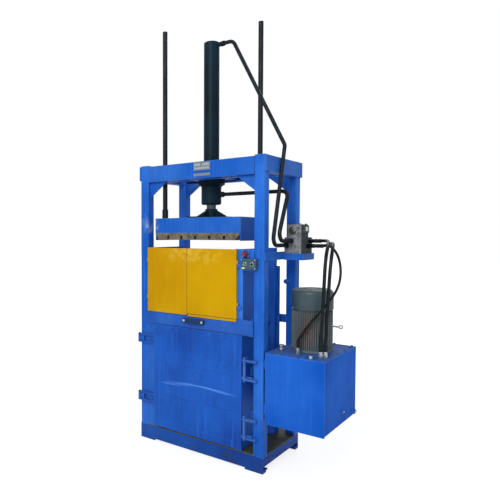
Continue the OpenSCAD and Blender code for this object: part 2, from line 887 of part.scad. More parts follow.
module latch_lugs() {
    color("royalblue") for (z = latch_z) for (zl = [z, z + latch_span]) difference() {
        union() {
            post_rod(latch_x, latch_y, zl - lug_t / 2, zl + lug_t / 2, 2 * lug_r);
            slab([latch_x, latch_y - lug_r, zl - lug_t / 2], [post_in + lug_lap, 0, zl + lug_t / 2]);
        }
        post_rod(latch_x, latch_y, zl - lug_t, zl + lug_t, latch_d + 2 * slip);
    }
}

// One latch: an upright rod with a cam and its tongue above the lower lug, and a grip above the upper lug
module latch(z) {
    cam_z = z + lug_t / 2 + gap;
    grip_z = z + latch_span + lug_t / 2 + gap + grip_lift;
    color("silver") {
        post_rod(latch_x, latch_y, z - lug_t / 2 - latch_end, grip_z + grip_lift, latch_d);
        post_rod(latch_x, latch_y, cam_z, cam_z + cam_t, cam_d);
        slab([latch_x, latch_y + cam_in, cam_z], [latch_x + cam_l, latch_y + cam_out, cam_z + cam_t]);
        rod_y(latch_x, grip_z, latch_y, latch_y + grip_l, grip_d);
    }
}

module latch_upper() {
    latch(latch_z[1]);
}

module latch_lower() {
    latch(latch_z[0]);
}

module control_box() {
    color("darkslategray") difference() {
        slab([box_x, -box_d, box_z], [box_x + box_w, 0, box_z + box_h]);
        for (x = button_x)
            rod_y(x, button_z, -box_d - through, button_l + through - box_d, button_d + 2 * gap);
    }
    color("gold") difference() {
        slab([estop_x - estop_plate[0] / 2, -estop_base_d, estop_z - estop_plate[1] / 2],
             [estop_x + estop_plate[0] / 2, 0, estop_z + estop_plate[1] / 2]);
        rod_y(estop_x, estop_z, -estop_base_d - through, through, stem_d + 2 * gap);
    }
}

module estop_button() {
    under = -estop_base_d - estop_lift;
    color("firebrick") {
        rod_y(estop_x, estop_z, under - estop_head_h, under, estop_d);
        rod_y(estop_x, estop_z, under, stem_in - estop_base_d, stem_d);
    }
}

module push_button(x) {
    rod_y(x, button_z, -box_d - button_out, button_l - button_out - box_d, button_d);
}

module up_button() {
    color("forestgreen") push_button(button_x[0]);
}

module down_button() {
    color("black") push_button(button_x[1]);
}

module cylinder_barrel() {
    color("darkslategray") difference() {
        union() {
            post_rod(press_x, press_y, socket_z, barrel_top - edge, barrel_d);
            at(press_x, press_y, barrel_top - edge)
                cylinder(h = edge, d1 = barrel_d, d2 = barrel_d - 2 * edge);
            rod_x(press_y, port_z, press_x + bore_d / 2, port_end, port_d);
        }
        post_rod(press_x, press_y, socket_z - through, barrel_top - cap_t, bore_d);
        post_rod(press_x, press_y, barrel_top - cap_t - through, port_z, port_hole_d);
        rod_x(press_y, port_z, press_x, port_end + through, port_hole_d);
    }
}

module cylinder_head() {
    color("darkslategray") difference() {
        union() {
            post_rod(press_x, press_y, flange_z, mount_z, flange_d);
            at(press_x, press_y, socket_z) cylinder(h = head_cone, d1 = head_d, d2 = flange_d);
            post_rod(press_x, press_y, head_z + head_nose, socket_z, head_d);
            at(press_x, press_y, head_z) cylinder(h = head_nose, d1 = head_d - 2 * head_nose, d2 = head_d);
            rod_x(press_y, head_port_z, press_x + rod_d / 2 + head_nose, port_end, port_d);
        }
        post_rod(press_x, press_y, socket_z, mount_z + through, barrel_d + 2 * seat);
        post_rod(press_x, press_y, head_z - through, socket_z + through, rod_d + 2 * slip);
        rod_x(press_y, head_port_z, press_x, port_end + through, port_hole_d);
        flange_circle() {
            translate([0, 0, flange_z - through]) cylinder(h = flange_t + 2 * through, d = bolt_d + 2 * slip);
            translate([0, 0, socket_z - through]) cylinder(h = head_cone + through, d = bolt_head_d + 4);
        }
    }
}

module flange_bolts() {
    color("dimgray") flange_circle() {
        translate([0, 0, flange_z - bolt_head_h]) cylinder(h = bolt_head_h, d = bolt_head_d, $fn = 6);
        translate([0, 0, flange_z - through])
            cylinder(h = flange_t + mount_t - bolt_grip - through, d = bolt_d);
    }
}

module piston() {
    color("silver") difference() {
        post_rod(press_x, press_y, piston_z, piston_top, bore_d - 2 * slip);
        for (z = seal_z)
            knuckle(press_x, press_y, piston_z + z, seal_h, bore_d + 2 * through, bore_d - 2 * seal_in);
        post_rod(press_x, press_y, piston_z - through, piston_z + spigot_l + 2 * through,
                 spigot_d + 2 * seat);
    }
}

module piston_rod() {
    color("silver") {
        post_rod(press_x, press_y, platen_top + foot_plate_t, piston_z, rod_d);
        post_rod(press_x, press_y, piston_z, piston_z + spigot_l, spigot_d);
    }
}

module rod_foot() {
    z0 = platen_top + foot_plate_t;
    color("darkslategray") {
        slab([press_x - foot_plate_w / 2, press_y - foot_plate_w / 2, platen_top],
             [press_x + foot_plate_w / 2, press_y + foot_plate_w / 2, z0]);
        difference() {
            union() {
                post_rod(press_x, press_y, z0, z0 + foot_rise, foot_socket_d);
                for (a = [0, 90, 180, 270])
                    at(press_x, press_y, z0) rotate([0, 0, a]) translate([0, foot_rib_t / 2, 0])
                        rotate([90, 0, 0]) linear_extrude(foot_rib_t)
                        polygon([[foot_socket_d / 2 - foot_lap, 0], [foot_rib_reach, 0],
                                 [foot_rib_reach, foot_lap],
                                 [foot_socket_d / 2 - foot_lap, foot_rise - foot_lap]]);
            }
            post_rod(press_x, press_y, z0, z0 + foot_rise + through, rod_d + 2 * seat);
        }
    }
}

module platen() {
    x0 = press_x - platen_w / 2;
    x1 = press_x + platen_w / 2;
    cell = (platen_w - platen_wall) / platen_cells;
    color("royalblue") {
        difference() {
            slab([x0, platen_front, platen_z], [x1, platen_back, platen_top]);
            for (i = [0:platen_cells - 1])
                slab([x0 + platen_wall + i * cell, platen_front + platen_wall, platen_z + platen_wall],
                     [x0 + (i + 1) * cell, platen_back - platen_wall, platen_top - platen_wall]);
        }
        for (x = [x0 - cheek, x1])
            slab([x, platen_front + cheek_in, face_z - cheek], [x + cheek, platen_back, platen_top - cheek]);
    }
}

module press_face() {
    x0 = press_x - platen_w / 2;
    color("saddlebrown") difference() {
        at(x0, platen_back, face_z) rotate([90, 0, 0]) linear_extrude(platen_back - platen_front)
            polygon([[face_bevel[0], 0], [platen_w - face_bevel[0], 0], [platen_w, face_bevel[1]],
                     [platen_w, face_h], [0, face_h], [0, face_bevel[1]]]);
        for (i = [1:groove_n])
            slab([x0 + i * groove_pitch - groove_w / 2, platen_front - through, face_z - through],
                 [x0 + i * groove_pitch + groove_w / 2, platen_back + through, face_z + groove_h]);
    }
}

module guide_rods() {
    color("#20282a") for (side = [-1, 1])
        post_rod(press_x + side * guide_dx, press_y + side * guide_dy, platen_top, guide_top, guide_d);
}

module rod_collars() {
    color("#20282a") for (side = [-1, 1])
        knuckle(press_x + side * guide_dx, press_y + side * guide_dy, platen_top, collar_h, collar_d,
                guide_d + 2 * seat);
}

// A folded sheet leaf: a front sheet with a turned edge all round, and its hinge knuckles
module leaf(x0, x1, z0, axis_x) {
    color("goldenrod") {
        slab([x0, leaf_front, z0], [x1, leaf_front + leaf_sheet, leaf_top]);
        difference() {
            slab([x0, leaf_front + leaf_sheet, leaf_z], [x1, leaf_back, leaf_top]);
            slab([x0 + leaf_sheet, leaf_front, leaf_z + leaf_sheet],
                 [x1 - leaf_sheet, leaf_back + through, leaf_top - leaf_sheet]);
        }
        for (z = leaf_hinge_z) difference() {
            union() {
                post_rod(axis_x, leaf_hinge_y, z + gap, z + gap + leaf_knuckle_h, leaf_knuckle_d);
                slab([axis_x < 0 ? axis_x : x1 - through, leaf_front + leaf_sheet, z + gap],
                     [axis_x < 0 ? x0 + through : axis_x, leaf_hinge_y + 2, z + gap + leaf_knuckle_h]);
            }
            post_rod(axis_x, leaf_hinge_y, z, z + 2 * gap + leaf_knuckle_h, leaf_pin_d + 2 * slip);
        }
    }
}

module feed_leaf_left() {
    leaf(leaf_left, seam_x - seam_gap / 2, leaf_z - leaf_lap, leaf_axis[0]);
}

module feed_leaf_right() {
    leaf(seam_x + seam_gap / 2, leaf_right, leaf_z, leaf_axis[1]);
}

// The hollow of one pressed panel: its four sides slope in to a flat floor
module door_panel(x, z) {
    y0 = door_front - through;
    y1 = door_front + panel_depth;
    out = through * panel_slope / panel_depth;
    intersection() {
        at(0, 0, z[0] - out) linear_extrude(z[1] - z[0] + 2 * out)
            polygon([[x[0] - out, y0], [x[1] + out, y0], [x[1] - panel_slope, y1], [x[0] + panel_slope, y1]]);
        at(x[0] - out, 0, 0) rotate([90, 0, 90]) linear_extrude(x[1] - x[0] + 2 * out)
            polygon([[y0, z[0] - out], [y1, z[0] + panel_slope], [y1, z[1] - panel_slope], [y0, z[1] + out]]);
    }
}

module lower_door() {
    color("royalblue") {
        difference() {
            slab([door_left, door_front, door_z], [door_right, -skin_gap, door_top]);
            for (x = [[door_left + stile[0], middle_stile[0]], [middle_stile[1], door_right - stile[1]]])
                for (z = panel_z) door_panel(x, z);
        }
        rod_y((middle_stile[0] + middle_stile[1]) / 2, boss_z, door_front - boss_h, door_front + 2, boss_d);
    }
}

module door_straps() {
    reach = door_left - hinge_x;
    y0 = door_front - hinge_y;
    color("royalblue") for (z = hinge_z) for (zs = [z - strap_far, z + knuckle_h / 2 + gap]) difference() {
        union() {
            post_rod(hinge_x, hinge_y, zs, zs + strap_t, door_knuckle_d);
            at(hinge_x, hinge_y, zs) linear_extrude(strap_t)
                polygon([[0, -door_knuckle_d / 2], [reach, y0], [reach, y0 + strap_end],
                         [0, door_knuckle_d / 2]]);
        }
        post_rod(hinge_x, hinge_y, zs - through, zs + strap_t + through, door_pin_d + 2 * slip);
    }
}

module cap_pipe() {
    color("#1c2426") swept_tube(bent(cap_corners, bend_r, 6), pipe_d, 16);
}

module gland_pipe() {
    color("#1c2426") swept_tube(bent(gland_corners, bend_r, 6), pipe_d, 16);
}

module valve_manifold() {
    color("#8a8578") slab([valve_x, valve_y, shelf_z],
                          [valve_x + valve_w, valve_y + valve_d, shelf_z + manifold_h]);
}

module directional_valve() {
    x0 = valve_x + body_in;
    x1 = x0 + body_w;
    y0 = valve_y + body_back;
    z0 = shelf_z + manifold_h;
    color("#77715f") {
        slab([x0, y0, z0], [x1, y0 + body_d, z0 + body_h]);
        rod_y((x0 + x1) / 2, z0 + spool_z, y0 - spool_l[0], y0, spool_cap[0]);
        rod_y((x0 + x1) / 2, z0 + spool_z, y0 + body_d, y0 + body_d + spool_l[1], spool_cap[1]);
    }
    color("#20262a") slab([x1, y0 + coil_in, z0 + coil_z[0]],
                          [x1 + coil_out, y0 + coil_in + coil_w, z0 + coil_z[1]]);
}

// Hexagon nuts with round ferrules, where the hoses leave the valve and enter the lid
module hose_fittings() {
    x0 = valve_x + valve_w;
    color("silver") {
        for (i = [0:2]) {
            rod_x(port_out_y[i], port_out_z[i], x0, x0 + hex_l, hex_d, $fn = 6);
            rod_x(port_out_y[i], port_out_z[i], x0 + hex_l, x0 + hex_l + nipple_l, nipple_d);
        }
        rod_y(cap_pipe_x, cap_in_z, valve_y - pipe_nut_l, valve_y, pipe_nut_d, $fn = 6);
        rod_y(gland_pipe_x, gland_in_z, valve_y - pipe_nut_l, valve_y, pipe_nut_d, $fn = 6);
        for (p = [pilot_xy, pressure_xy, return_xy]) {
            post_rod(p[0], p[1], lid_top, lid_top + lid_hex_h, lid_hex_d, $fn = 6);
            post_rod(p[0], p[1], lid_top + lid_hex_h, lid_top + fitting_h, lid_hex_d - 3);
        }
    }
}

module pressure_hose() {
    color("#15191a") translate([half_w, 0, 0]) swept_tube(pressure_route, hose_d, 8);
}

module return_hose() {
    color("#15191a") translate([half_w, 0, 0]) swept_tube(return_route, hose_d, 8);
}

module pilot_hose() {
    color("#15191a") translate([half_w, 0, 0]) swept_tube(pilot_route, pilot_d, 8);
}

module oil_tank() {
    color("royalblue") {
        difference() {
            slab([tank_x, 0, tank_z], [tank_right, tank_d, tank_top]);
            slab([tank_x + tank_t, tank_t, tank_z + tank_t],
                 [tank_right - tank_t, tank_d - tank_t, tank_top + through]);
        }
        slab([tank_x, 0, tank_z - skirt], [tank_right, tank_t, tank_z]);
        for (y = [pad_in, rear_post_y + pad_in]) for (z = pad_z)
            slab([half_w, y, z], [tank_x, y + pad_w, z + pad_h]);
        for (i = [0, 1])
            rod_x(drain_y[i], drain_z[i], tank_right - through, tank_right + drain_l[i], drain_d[i]);
    }
}

module tank_lid() {
    color("steelblue") difference() {
        slab([tank_x, 0, tank_top], [tank_right, tank_d, lid_top]);
        post_rod(motor_x, motor_y, tank_top - through, lid_top + through, bell_d - 2 * bell_wall);
        post_rod(pressure_xy[0], pressure_xy[1], tank_top - through, lid_top + through, delivery_d + 2 * gap);
    }
}

module filler_cap() {
    color("silver") {
        post_rod(filler_xy[0], filler_xy[1], lid_top, lid_top + filler_h[0], filler_d[0]);
        post_rod(filler_xy[0], filler_xy[1], lid_top + filler_h[0], lid_top + filler_h[1], filler_d[1]);
        post_rod(plug_xy[0], plug_xy[1], lid_top, lid_top + plug_h, plug_d);
    }
}

// Outline of the finned frame, with one tooth for each fin
module fin_outline() {
    pitch = 360 / fin_n;
    polygon([for (i = [0:fin_n - 1]) for (p = [[0, 0], [0.3, 0], [0.36, 1], [0.64, 1], [0.7, 0]])
        (fin_root + p[1] * fin_d) * [cos(pitch * (i + p[0])), sin(pitch * (i + p[0]))]]);
}

module motor_body() {
    fin_z = lid_top + motor_flange_t;
    color("#4d5a58") difference() {
        union() {
            post_rod(motor_x, motor_y, lid_top, fin_z, motor_flange_d);
            at(motor_x, motor_y, fin_z) linear_extrude(motor_top - shield_h - fin_z) fin_outline();
            post_rod(motor_x, motor_y, motor_top - shield_h, motor_top, shield_d);
            intersection() {
                post_rod(motor_x, motor_y, cowl_z, motor_top, cowl_d - 2 * cowl_wall - 2 * seat);
                for (a = [45, 135]) at(motor_x, motor_y, cowl_z - through) rotate([0, 0, a])
                    translate([-cowl_d / 2, -ear_w / 2, 0])
                    cube([cowl_d, ear_w, motor_top - cowl_z + through]);
            }
            slab([motor_x - terminal_w / 2, motor_y + fin_root - terminal_in, terminal_z],
                 [motor_x + terminal_w / 2, motor_y + fin_root + terminal_d, terminal_z + terminal_h]);
        }
        post_rod(motor_x, motor_y, cavity_z, cavity_top, cavity_d);
        post_rod(motor_x, motor_y, lid_top - through, motor_top + through, shaft_d + 2 * slip);
        rod_x(motor_y, eye_z, motor_x + fin_root - eye_in, motor_x + motor_d, eye_shank_d + 2 * seat);
    }
}

module eye_bolt() {
    color("silver") difference() {
        union() {
            rod_x(motor_y, eye_z, motor_x + fin_root - eye_in, eye_x - eye_hole_d / 2, eye_shank_d);
            rod_y(eye_x, eye_z, motor_y - eye_t / 2, motor_y + eye_t / 2, eye_d);
        }
        rod_y(eye_x, eye_z, motor_y - eye_t, motor_y + eye_t, eye_hole_d);
    }
}

// The cowl is a turned cap: its outline runs up the outside, round the shoulder and back down the inside
module fan_cowl() {
    r = cowl_d / 2;
    color("#3f4a49") at(motor_x, motor_y, cowl_z) difference() {
        rotate_extrude() polygon(concat([[r - cowl_wall, 0], [r, 0], [r, cowl_h - cowl_round]],
            [for (i = [1:6]) [r - cowl_round + cowl_round * cos(15 * i),
                              cowl_h - cowl_round + cowl_round * sin(15 * i)]],
            [[0, cowl_h], [0, cowl_h - cowl_wall], [r - cowl_round, cowl_h - cowl_wall]],
            [for (i = [5:-1:0]) [r - cowl_round + (cowl_round - cowl_wall) * cos(15 * i),
                                 cowl_h - cowl_round + (cowl_round - cowl_wall) * sin(15 * i)]]));
        for (i = [0:slot_n - 1]) rotate([0, 0, 360 / slot_n * i])
            translate([slot_in, -slot_w / 2, cowl_h - 2 * cowl_wall]) cube([slot_l, slot_w, 3 * cowl_wall]);
    }
}

module motor_rotor() {
    color("silver") {
        post_rod(motor_x, motor_y, shaft_end, hub_z + hub_h + through, shaft_d);
        post_rod(motor_x, motor_y, cavity_z + rotor_in, cavity_top - rotor_in, rotor_d);
    }
}

module cooling_fan() {
    color("#2c3332") difference() {
        union() {
            post_rod(motor_x, motor_y, hub_z, hub_z + hub_h, hub_d);
            for (i = [0:blade_n - 1])
                at(motor_x, motor_y, hub_z + (hub_h - blade_h) / 2) rotate([0, 0, 360 / blade_n * i])
                    translate([hub_d / 2 - blade_t, -blade_t / 2, 0]) cube([blade_l, blade_t, blade_h]);
        }
        post_rod(motor_x, motor_y, hub_z - through, hub_z + hub_h + through, shaft_d + 2 * seat);
    }
}

module bell_housing() {
    color("#59615f") difference() {
        union() {
            post_rod(motor_x, motor_y, bell_z, tank_top - bell_flange_t, bell_d);
            post_rod(motor_x, motor_y, tank_top - bell_flange_t, tank_top, bell_flange_d);
        }
        post_rod(motor_x, motor_y, bell_z + bell_wall, tank_top + through, bell_d - 2 * bell_wall);
        post_rod(motor_x, motor_y, bell_z - through, bell_z + 2 * bell_wall, 2 * pump_shaft_d);
    }
}

module shaft_coupling() {
    color("darkred") difference() {
        post_rod(motor_x, motor_y, coupling_z, coupling_z + coupling_h, coupling_d);
        post_rod(motor_x, motor_y, shaft_end, coupling_z + coupling_h + through, shaft_d + 2 * seat);
        post_rod(motor_x, motor_y, coupling_z - through, shaft_end - coupling_web, pump_shaft_d + 2 * seat);
    }
}

module pump_shaft() {
    color("silver") post_rod(motor_x, motor_y, pump_bore_z + through, shaft_end - coupling_web, pump_shaft_d);
}

module gear_pump() {
    color("silver") difference() {
        union() {
            slab([motor_x - pump_w / 2, motor_y - pump_d / 2, pump_z + pump_cap],
                 [motor_x + pump_w / 2, motor_y + pump_d / 2, bell_z]);
            slab([motor_x - pump_w / 2 + pump_cap / 2, motor_y - pump_d / 2 + pump_cap, pump_z],
                 [motor_x + pump_w / 2 - pump_cap / 2, motor_y + pump_d / 2 - pump_cap, pump_z + pump_cap]);
        }
        post_rod(motor_x, motor_y, pump_bore_z, bell_z + through, pump_shaft_d + 2 * slip);
    }
}

module suction_strainer() {
    color("darkkhaki") {
        post_rod(motor_x, motor_y, strainer_z, strainer_z + strainer_h, strainer_d);
        post_rod(motor_x, motor_y, strainer_z + strainer_h, pump_z, suction_d);
    }
}

module delivery_pipe() {
    color("silver") swept_tube(bent(delivery_corners, delivery_r, 6), delivery_d, 12);
}

base_frame();
corner_posts();
top_ring();
corner_gussets();
cylinder_mount();
guide_bushes();
left_wall();
right_wall();
rear_wall();
rear_rails();
chamber_floor();
belt_beam();
sill_strip();
belt_handle();
valve_rail();
hinge_knuckles();
hinge_pins();
latch_lugs();
control_box();
estop_button();
up_button();
down_button();
cylinder_barrel();
cylinder_head();
flange_bolts();
piston();
piston_rod();
rod_foot();
platen();
press_face();
guide_rods();
rod_collars();
feed_leaf_left();
feed_leaf_right();
lower_door();
door_straps();
latch_upper();
latch_lower();
cap_pipe();
gland_pipe();
valve_manifold();
directional_valve();
hose_fittings();
pressure_hose();
return_hose();
pilot_hose();
oil_tank();
tank_lid();
filler_cap();
motor_body();
eye_bolt();
fan_cowl();
motor_rotor();
cooling_fan();
bell_housing();
shaft_coupling();
pump_shaft();
gear_pump();
suction_strainer();
delivery_pipe();
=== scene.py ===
import math
import random

import bmesh
import bpy
from mathutils import Matrix, Vector


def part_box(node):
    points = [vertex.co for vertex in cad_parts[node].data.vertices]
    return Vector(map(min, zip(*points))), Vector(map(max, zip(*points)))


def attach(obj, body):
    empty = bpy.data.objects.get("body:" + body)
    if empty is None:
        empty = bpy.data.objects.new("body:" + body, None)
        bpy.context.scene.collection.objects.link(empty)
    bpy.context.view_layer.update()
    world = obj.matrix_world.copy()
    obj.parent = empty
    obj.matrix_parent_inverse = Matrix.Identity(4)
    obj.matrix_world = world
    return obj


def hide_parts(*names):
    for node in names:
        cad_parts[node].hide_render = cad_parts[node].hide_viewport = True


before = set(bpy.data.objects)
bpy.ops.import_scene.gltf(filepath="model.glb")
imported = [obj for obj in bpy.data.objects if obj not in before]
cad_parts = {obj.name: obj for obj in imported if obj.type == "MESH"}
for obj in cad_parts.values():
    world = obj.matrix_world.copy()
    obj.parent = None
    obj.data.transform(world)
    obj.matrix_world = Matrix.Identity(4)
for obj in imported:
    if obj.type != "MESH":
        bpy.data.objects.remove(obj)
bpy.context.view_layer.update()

# Places are in millimetres from the frame's middle, its front face and the floor, as in the part's source
ORIGIN = (-207.5, -254.0, 0.0)


def place(x, y, z):
    """A point of the row frame in metres."""
    return Vector([(value + shift) / 1000 for value, shift in zip((x, y, z), ORIGIN)])


def box_of(node):
    """The low and the high corner of a node's box, in millimetres."""
    return [[round(value * 1000 - shift, 1) for value, shift in zip(corner, ORIGIN)]
            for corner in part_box(node)]


def middle_of(node):
    """The middle of a node's box, in millimetres."""
    low, high = box_of(node)
    return [(a + b) / 2 for a, b in zip(low, high)]


def srgb(red, green, blue):
    """A colour given in 0 to 255 display values, as the linear values that shaders take."""
    def linear(value):
        value /= 255
        return value / 12.92 if value <= 0.04045 else ((value + 0.055) / 1.055) ** 2.4
    return (linear(red), linear(green), linear(blue), 1.0)


# Camera, as fitted to the photo: millimetres, degrees, and shifts as shares of the picture's width

SENSOR_WIDTH = 36.0
FOCAL_LENGTH = 37.18
PICTURE_SHIFT = (0.1558, 0.0084)
CAMERA_AT = (2116.9, -2996.7, 1581.1)
CAMERA_DIP = 2.218
CAMERA_HEADING = 38.005


def make_camera():
    data = bpy.data.cameras.new("camera")
    data.sensor_width = SENSOR_WIDTH
    data.lens = FOCAL_LENGTH
    data.shift_x, data.shift_y = PICTURE_SHIFT
    data.clip_end = 60.0
    camera = bpy.data.objects.new("camera", data)
    bpy.context.scene.collection.objects.link(camera)
    camera.location = place(*CAMERA_AT)
    camera.rotation_euler = (math.radians(90 - CAMERA_DIP), 0.0, math.radians(CAMERA_HEADING))
    bpy.context.scene.camera = camera


make_camera()


# Shader building

# The sockets of a mix node that carry colours
MIX_FIRST = 6
MIX_SECOND = 7
MIX_RESULT = 2


class Shader:
    """One material's node tree, with short calls for the nodes that this scene uses."""

    def __init__(self, name):
        self.material = bpy.data.materials.new(name)
        self.material.use_nodes = True
        self.tree = self.material.node_tree
        self.tree.nodes.clear()
        self.output = self.add("ShaderNodeOutputMaterial")
        self.surface = self.add("ShaderNodeBsdfPrincipled")
        self.link(self.surface.outputs[0], self.output.inputs[0])
        self.where = self.add("ShaderNodeTexCoord").outputs["Object"]

    def add(self, kind, **settings):
        node = self.tree.nodes.new(kind)
        for key, value in settings.items():
            setattr(node, key, value)
        return node

    def link(self, source, target):
        self.tree.links.new(source, target)

    def set(self, target, value):
        """Links a socket, or writes a constant into it."""
        if isinstance(value, bpy.types.NodeSocket):
            self.link(value, target)
        else:
            target.default_value = value

    def stretched(self, x, y, z):
        """The object's coordinates, scaled along each axis."""
        node = self.add("ShaderNodeMapping")
        self.link(self.where, node.inputs["Vector"])
        node.inputs["Scale"].default_value = (x, y, z)
        return node.outputs[0]

    def noise(self, scale, detail=4.0, rough=0.55, vector=None, distortion=0.0):
        node = self.add("ShaderNodeTexNoise")
        self.link(vector or self.where, node.inputs["Vector"])
        node.inputs["Scale"].default_value = scale
        node.inputs["Detail"].default_value = detail
        node.inputs["Roughness"].default_value = rough
        node.inputs["Distortion"].default_value = distortion
        return node.outputs["Fac"]

    def ramp(self, value, low, high, to_low=0.0, to_high=1.0):
        """A smooth step from one value to another between two levels."""
        node = self.add("ShaderNodeMapRange", interpolation_type="SMOOTHSTEP")
        self.set(node.inputs["Value"], value)
        node.inputs["From Min"].default_value = low
        node.inputs["From Max"].default_value = high
        node.inputs["To Min"].default_value = to_low
        node.inputs["To Max"].default_value = to_high
        return node.outputs["Result"]

    def math(self, operation, first, second):
        """A sum, difference, product or maximum, kept between 0 and 1."""
        node = self.add("ShaderNodeMath", operation=operation, use_clamp=True)
        self.set(node.inputs[0], first)
        self.set(node.inputs[1], second)
        return node.outputs[0]

    def mix(self, factor, first, second):
        node = self.add("ShaderNodeMix", data_type="RGBA")
        self.set(node.inputs[0], factor)
        self.set(node.inputs[MIX_FIRST], first)
        self.set(node.inputs[MIX_SECOND], second)
        return node.outputs[MIX_RESULT]

    def axis(self, source, index):
        node = self.add("ShaderNodeSeparateXYZ")
        self.link(source, node.inputs[0])
        return node.outputs[index]

    def edges(self, radius):
        """Rounded normals, and a mask that is 1 along edges and 0 on open surfaces."""
        bevel = self.add("ShaderNodeBevel", samples=4)
        bevel.inputs["Radius"].default_value = radius
        normal = self.add("ShaderNodeNewGeometry").outputs["Normal"]
        dot = self.add("ShaderNodeVectorMath", operation="DOT_PRODUCT")
        self.link(bevel.outputs[0], dot.inputs[0])
        self.link(normal, dot.inputs[1])
        return bevel.outputs[0], self.ramp(self.math("SUBTRACT", 1.0, dot.outputs["Value"]), 0.02, 0.25)

    def upward(self):
        """1 on faces that look up, 0 on the others."""
        return self.ramp(self.axis(self.add("ShaderNodeNewGeometry").outputs["Normal"], 2), 0.6, 0.95)

    def bump(self, height, strength, distance, normal=None):
        node = self.add("ShaderNodeBump")
        node.inputs["Strength"].default_value = strength
        node.inputs["Distance"].default_value = distance
        self.link(height, node.inputs["Height"])
        if normal:
            self.link(normal, node.inputs["Normal"])
        return node.outputs[0]

    def spot(self, centre, size):
        """1 at a place of the object, falling to 0 at the given half sizes."""
        move = self.add("ShaderNodeVectorMath", operation="SUBTRACT")
        self.link(self.where, move.inputs[0])
        move.inputs[1].default_value = centre
        grow = self.add("ShaderNodeVectorMath", operation="DIVIDE")
        self.link(move.outputs[0], grow.inputs[0])
        grow.inputs[1].default_value = size
        length = self.add("ShaderNodeVectorMath", operation="LENGTH")
        self.link(grow.outputs[0], length.inputs[0])
        return self.ramp(length.outputs["Value"], 1.0, 0.3)


# Wear, grime, stains, streaks and shine run from 0 to 1, and lengths and heights are in metres.
# A chip or rust shows the colour under the enamel. A rim is a painted highlight along the edges, partly also
# edges rubbed pale.
# Scuffs and painted highlights thinner than this are laid on unbroken.
FINE_PATCH = 0.01


def paint(name, base, shade, under, dust, wear=0.5, grime=0.35, rough=0.38, rust_below=0.0, scuffs_and_highlights=(),
          shine=0.16, rim_highlight_and_rub=None, streak=0.0, corner=0.004):
    """Enamel on steel: drifts of shade, run marks, painted highlight and pale rubbing on edges, chips, rust
    low down and settled dust.
    """
    s = Shader(name)
    normal, edge = s.edges(corner)

    # Drifts of shade, dark run marks and pale streaks
    drift = s.ramp(s.noise(2.3, 3.0), 0.35, 0.68)
    runs = s.noise(1.0, 5.0, 0.6, s.stretched(26, 26, 2.2))
    color = s.mix(drift, base, shade)
    color = s.mix(s.ramp(runs, 0.5, 0.8, 0.0, grime), color, shade)
    if streak:
        pale = tuple(min(1.0, 1.3 * value + 0.02) for value in base[:3]) + (1.0,)
        marks = s.noise(1.0, 4.0, 0.6, s.stretched(64, 64, 2.0))
        color = s.mix(s.ramp(marks, 0.5, 0.76, 0.0, streak), color, pale)

    # Painted highlight along the edges, partly edges rubbed pale, then chips along them and specks on the
    # faces
    if rim_highlight_and_rub:
        rim_breakup = s.ramp(s.noise(7, 4.0), 0.3, 0.6, 0.35, 0.85)
        color = s.mix(s.math("MULTIPLY", edge, rim_breakup), color, rim_highlight_and_rub)
    fine = s.noise(90, 3.0, 0.6)
    chips = s.math("MULTIPLY", edge, s.ramp(s.noise(34, 6.0, 0.7), 0.62 - 0.18 * wear, 0.72))
    specks = s.ramp(s.noise(150, 2.0, 0.5), 0.74 - 0.03 * wear, 0.77)
    chips = s.math("MAXIMUM", chips, s.math("MULTIPLY", specks, 0.7 * wear))
    if rust_below:
        height = s.ramp(s.axis(s.where, 2), rust_below, 0.0)
        rust = s.math("MULTIPLY", height, s.ramp(s.noise(11, 6.0, 0.7), 0.48, 0.66))
        color = s.mix(s.math("MULTIPLY", rust, 0.5), color, under)
    color = s.mix(chips, color, under)

    # Dust on top faces, then scuffs and painted highlights laid on as patches
    settled = s.math("MULTIPLY", s.upward(), s.ramp(s.noise(14, 5.0), 0.3, 0.7, 0.15, 0.7))
    color = s.mix(settled, color, dust)
    for centre, size, tone in scuffs_and_highlights:
        broken = s.ramp(s.noise(34, 6.0, 0.7), 0.4, 0.68) if min(size) > FINE_PATCH else 0.8
        laid_patch = s.math("MULTIPLY", s.spot(centre, size), broken)
        color = s.mix(s.math("MULTIPLY", laid_patch, 0.6), color, tone)

    s.set(s.surface.inputs["Base Color"], color)
    s.surface.inputs["Specular IOR Level"].default_value = shine
    s.set(s.surface.inputs["Roughness"], s.math("ADD", s.ramp(fine, 0.3, 0.7, rough - 0.05, rough + 0.08),
                                               s.math("MULTIPLY", s.math("MAXIMUM", chips, settled), 0.35)))
    peel = s.math("SUBTRACT", s.math("MULTIPLY", s.noise(240, 2.0), 0.5), s.math("MULTIPLY", chips, 0.4))
    s.link(s.bump(peel, 0.25, 0.0006, normal), s.surface.inputs["Normal"])
    return s.material


def bare(name, base, stain, metallic=1.0, rough=0.28, stained=0.5, grain=(1, 1, 1), upper=None, shine=0.5):
    """Bare or plated metal: drawn grain, stains and grime in its corners, and another tone above a height."""
    s = Shader(name)
    normal, edge = s.edges(0.002)
    marks = s.noise(60.0, 4.0, 0.6, s.stretched(*grain))
    cloud = s.ramp(s.noise(9, 5.0, 0.65), 0.42, 0.7, 0.0, stained)
    color = s.mix(cloud, base, stain)
    color = s.mix(s.math("MULTIPLY", edge, 0.35 * stained), color, stain)
    if upper:
        height, tone = upper
        color = s.mix(s.ramp(s.axis(s.where, 2), height - 0.005, height + 0.005), color, tone)
    s.set(s.surface.inputs["Base Color"], color)
    s.surface.inputs["Metallic"].default_value = metallic
    s.surface.inputs["Specular IOR Level"].default_value = shine
    s.set(s.surface.inputs["Roughness"], s.math("ADD", s.ramp(marks, 0.3, 0.7, rough - 0.08, rough + 0.1),
                                               s.math("MULTIPLY", cloud, 0.4)))
    s.link(s.bump(marks, 0.2, 0.0005, normal), s.surface.inputs["Normal"])
    return s.material


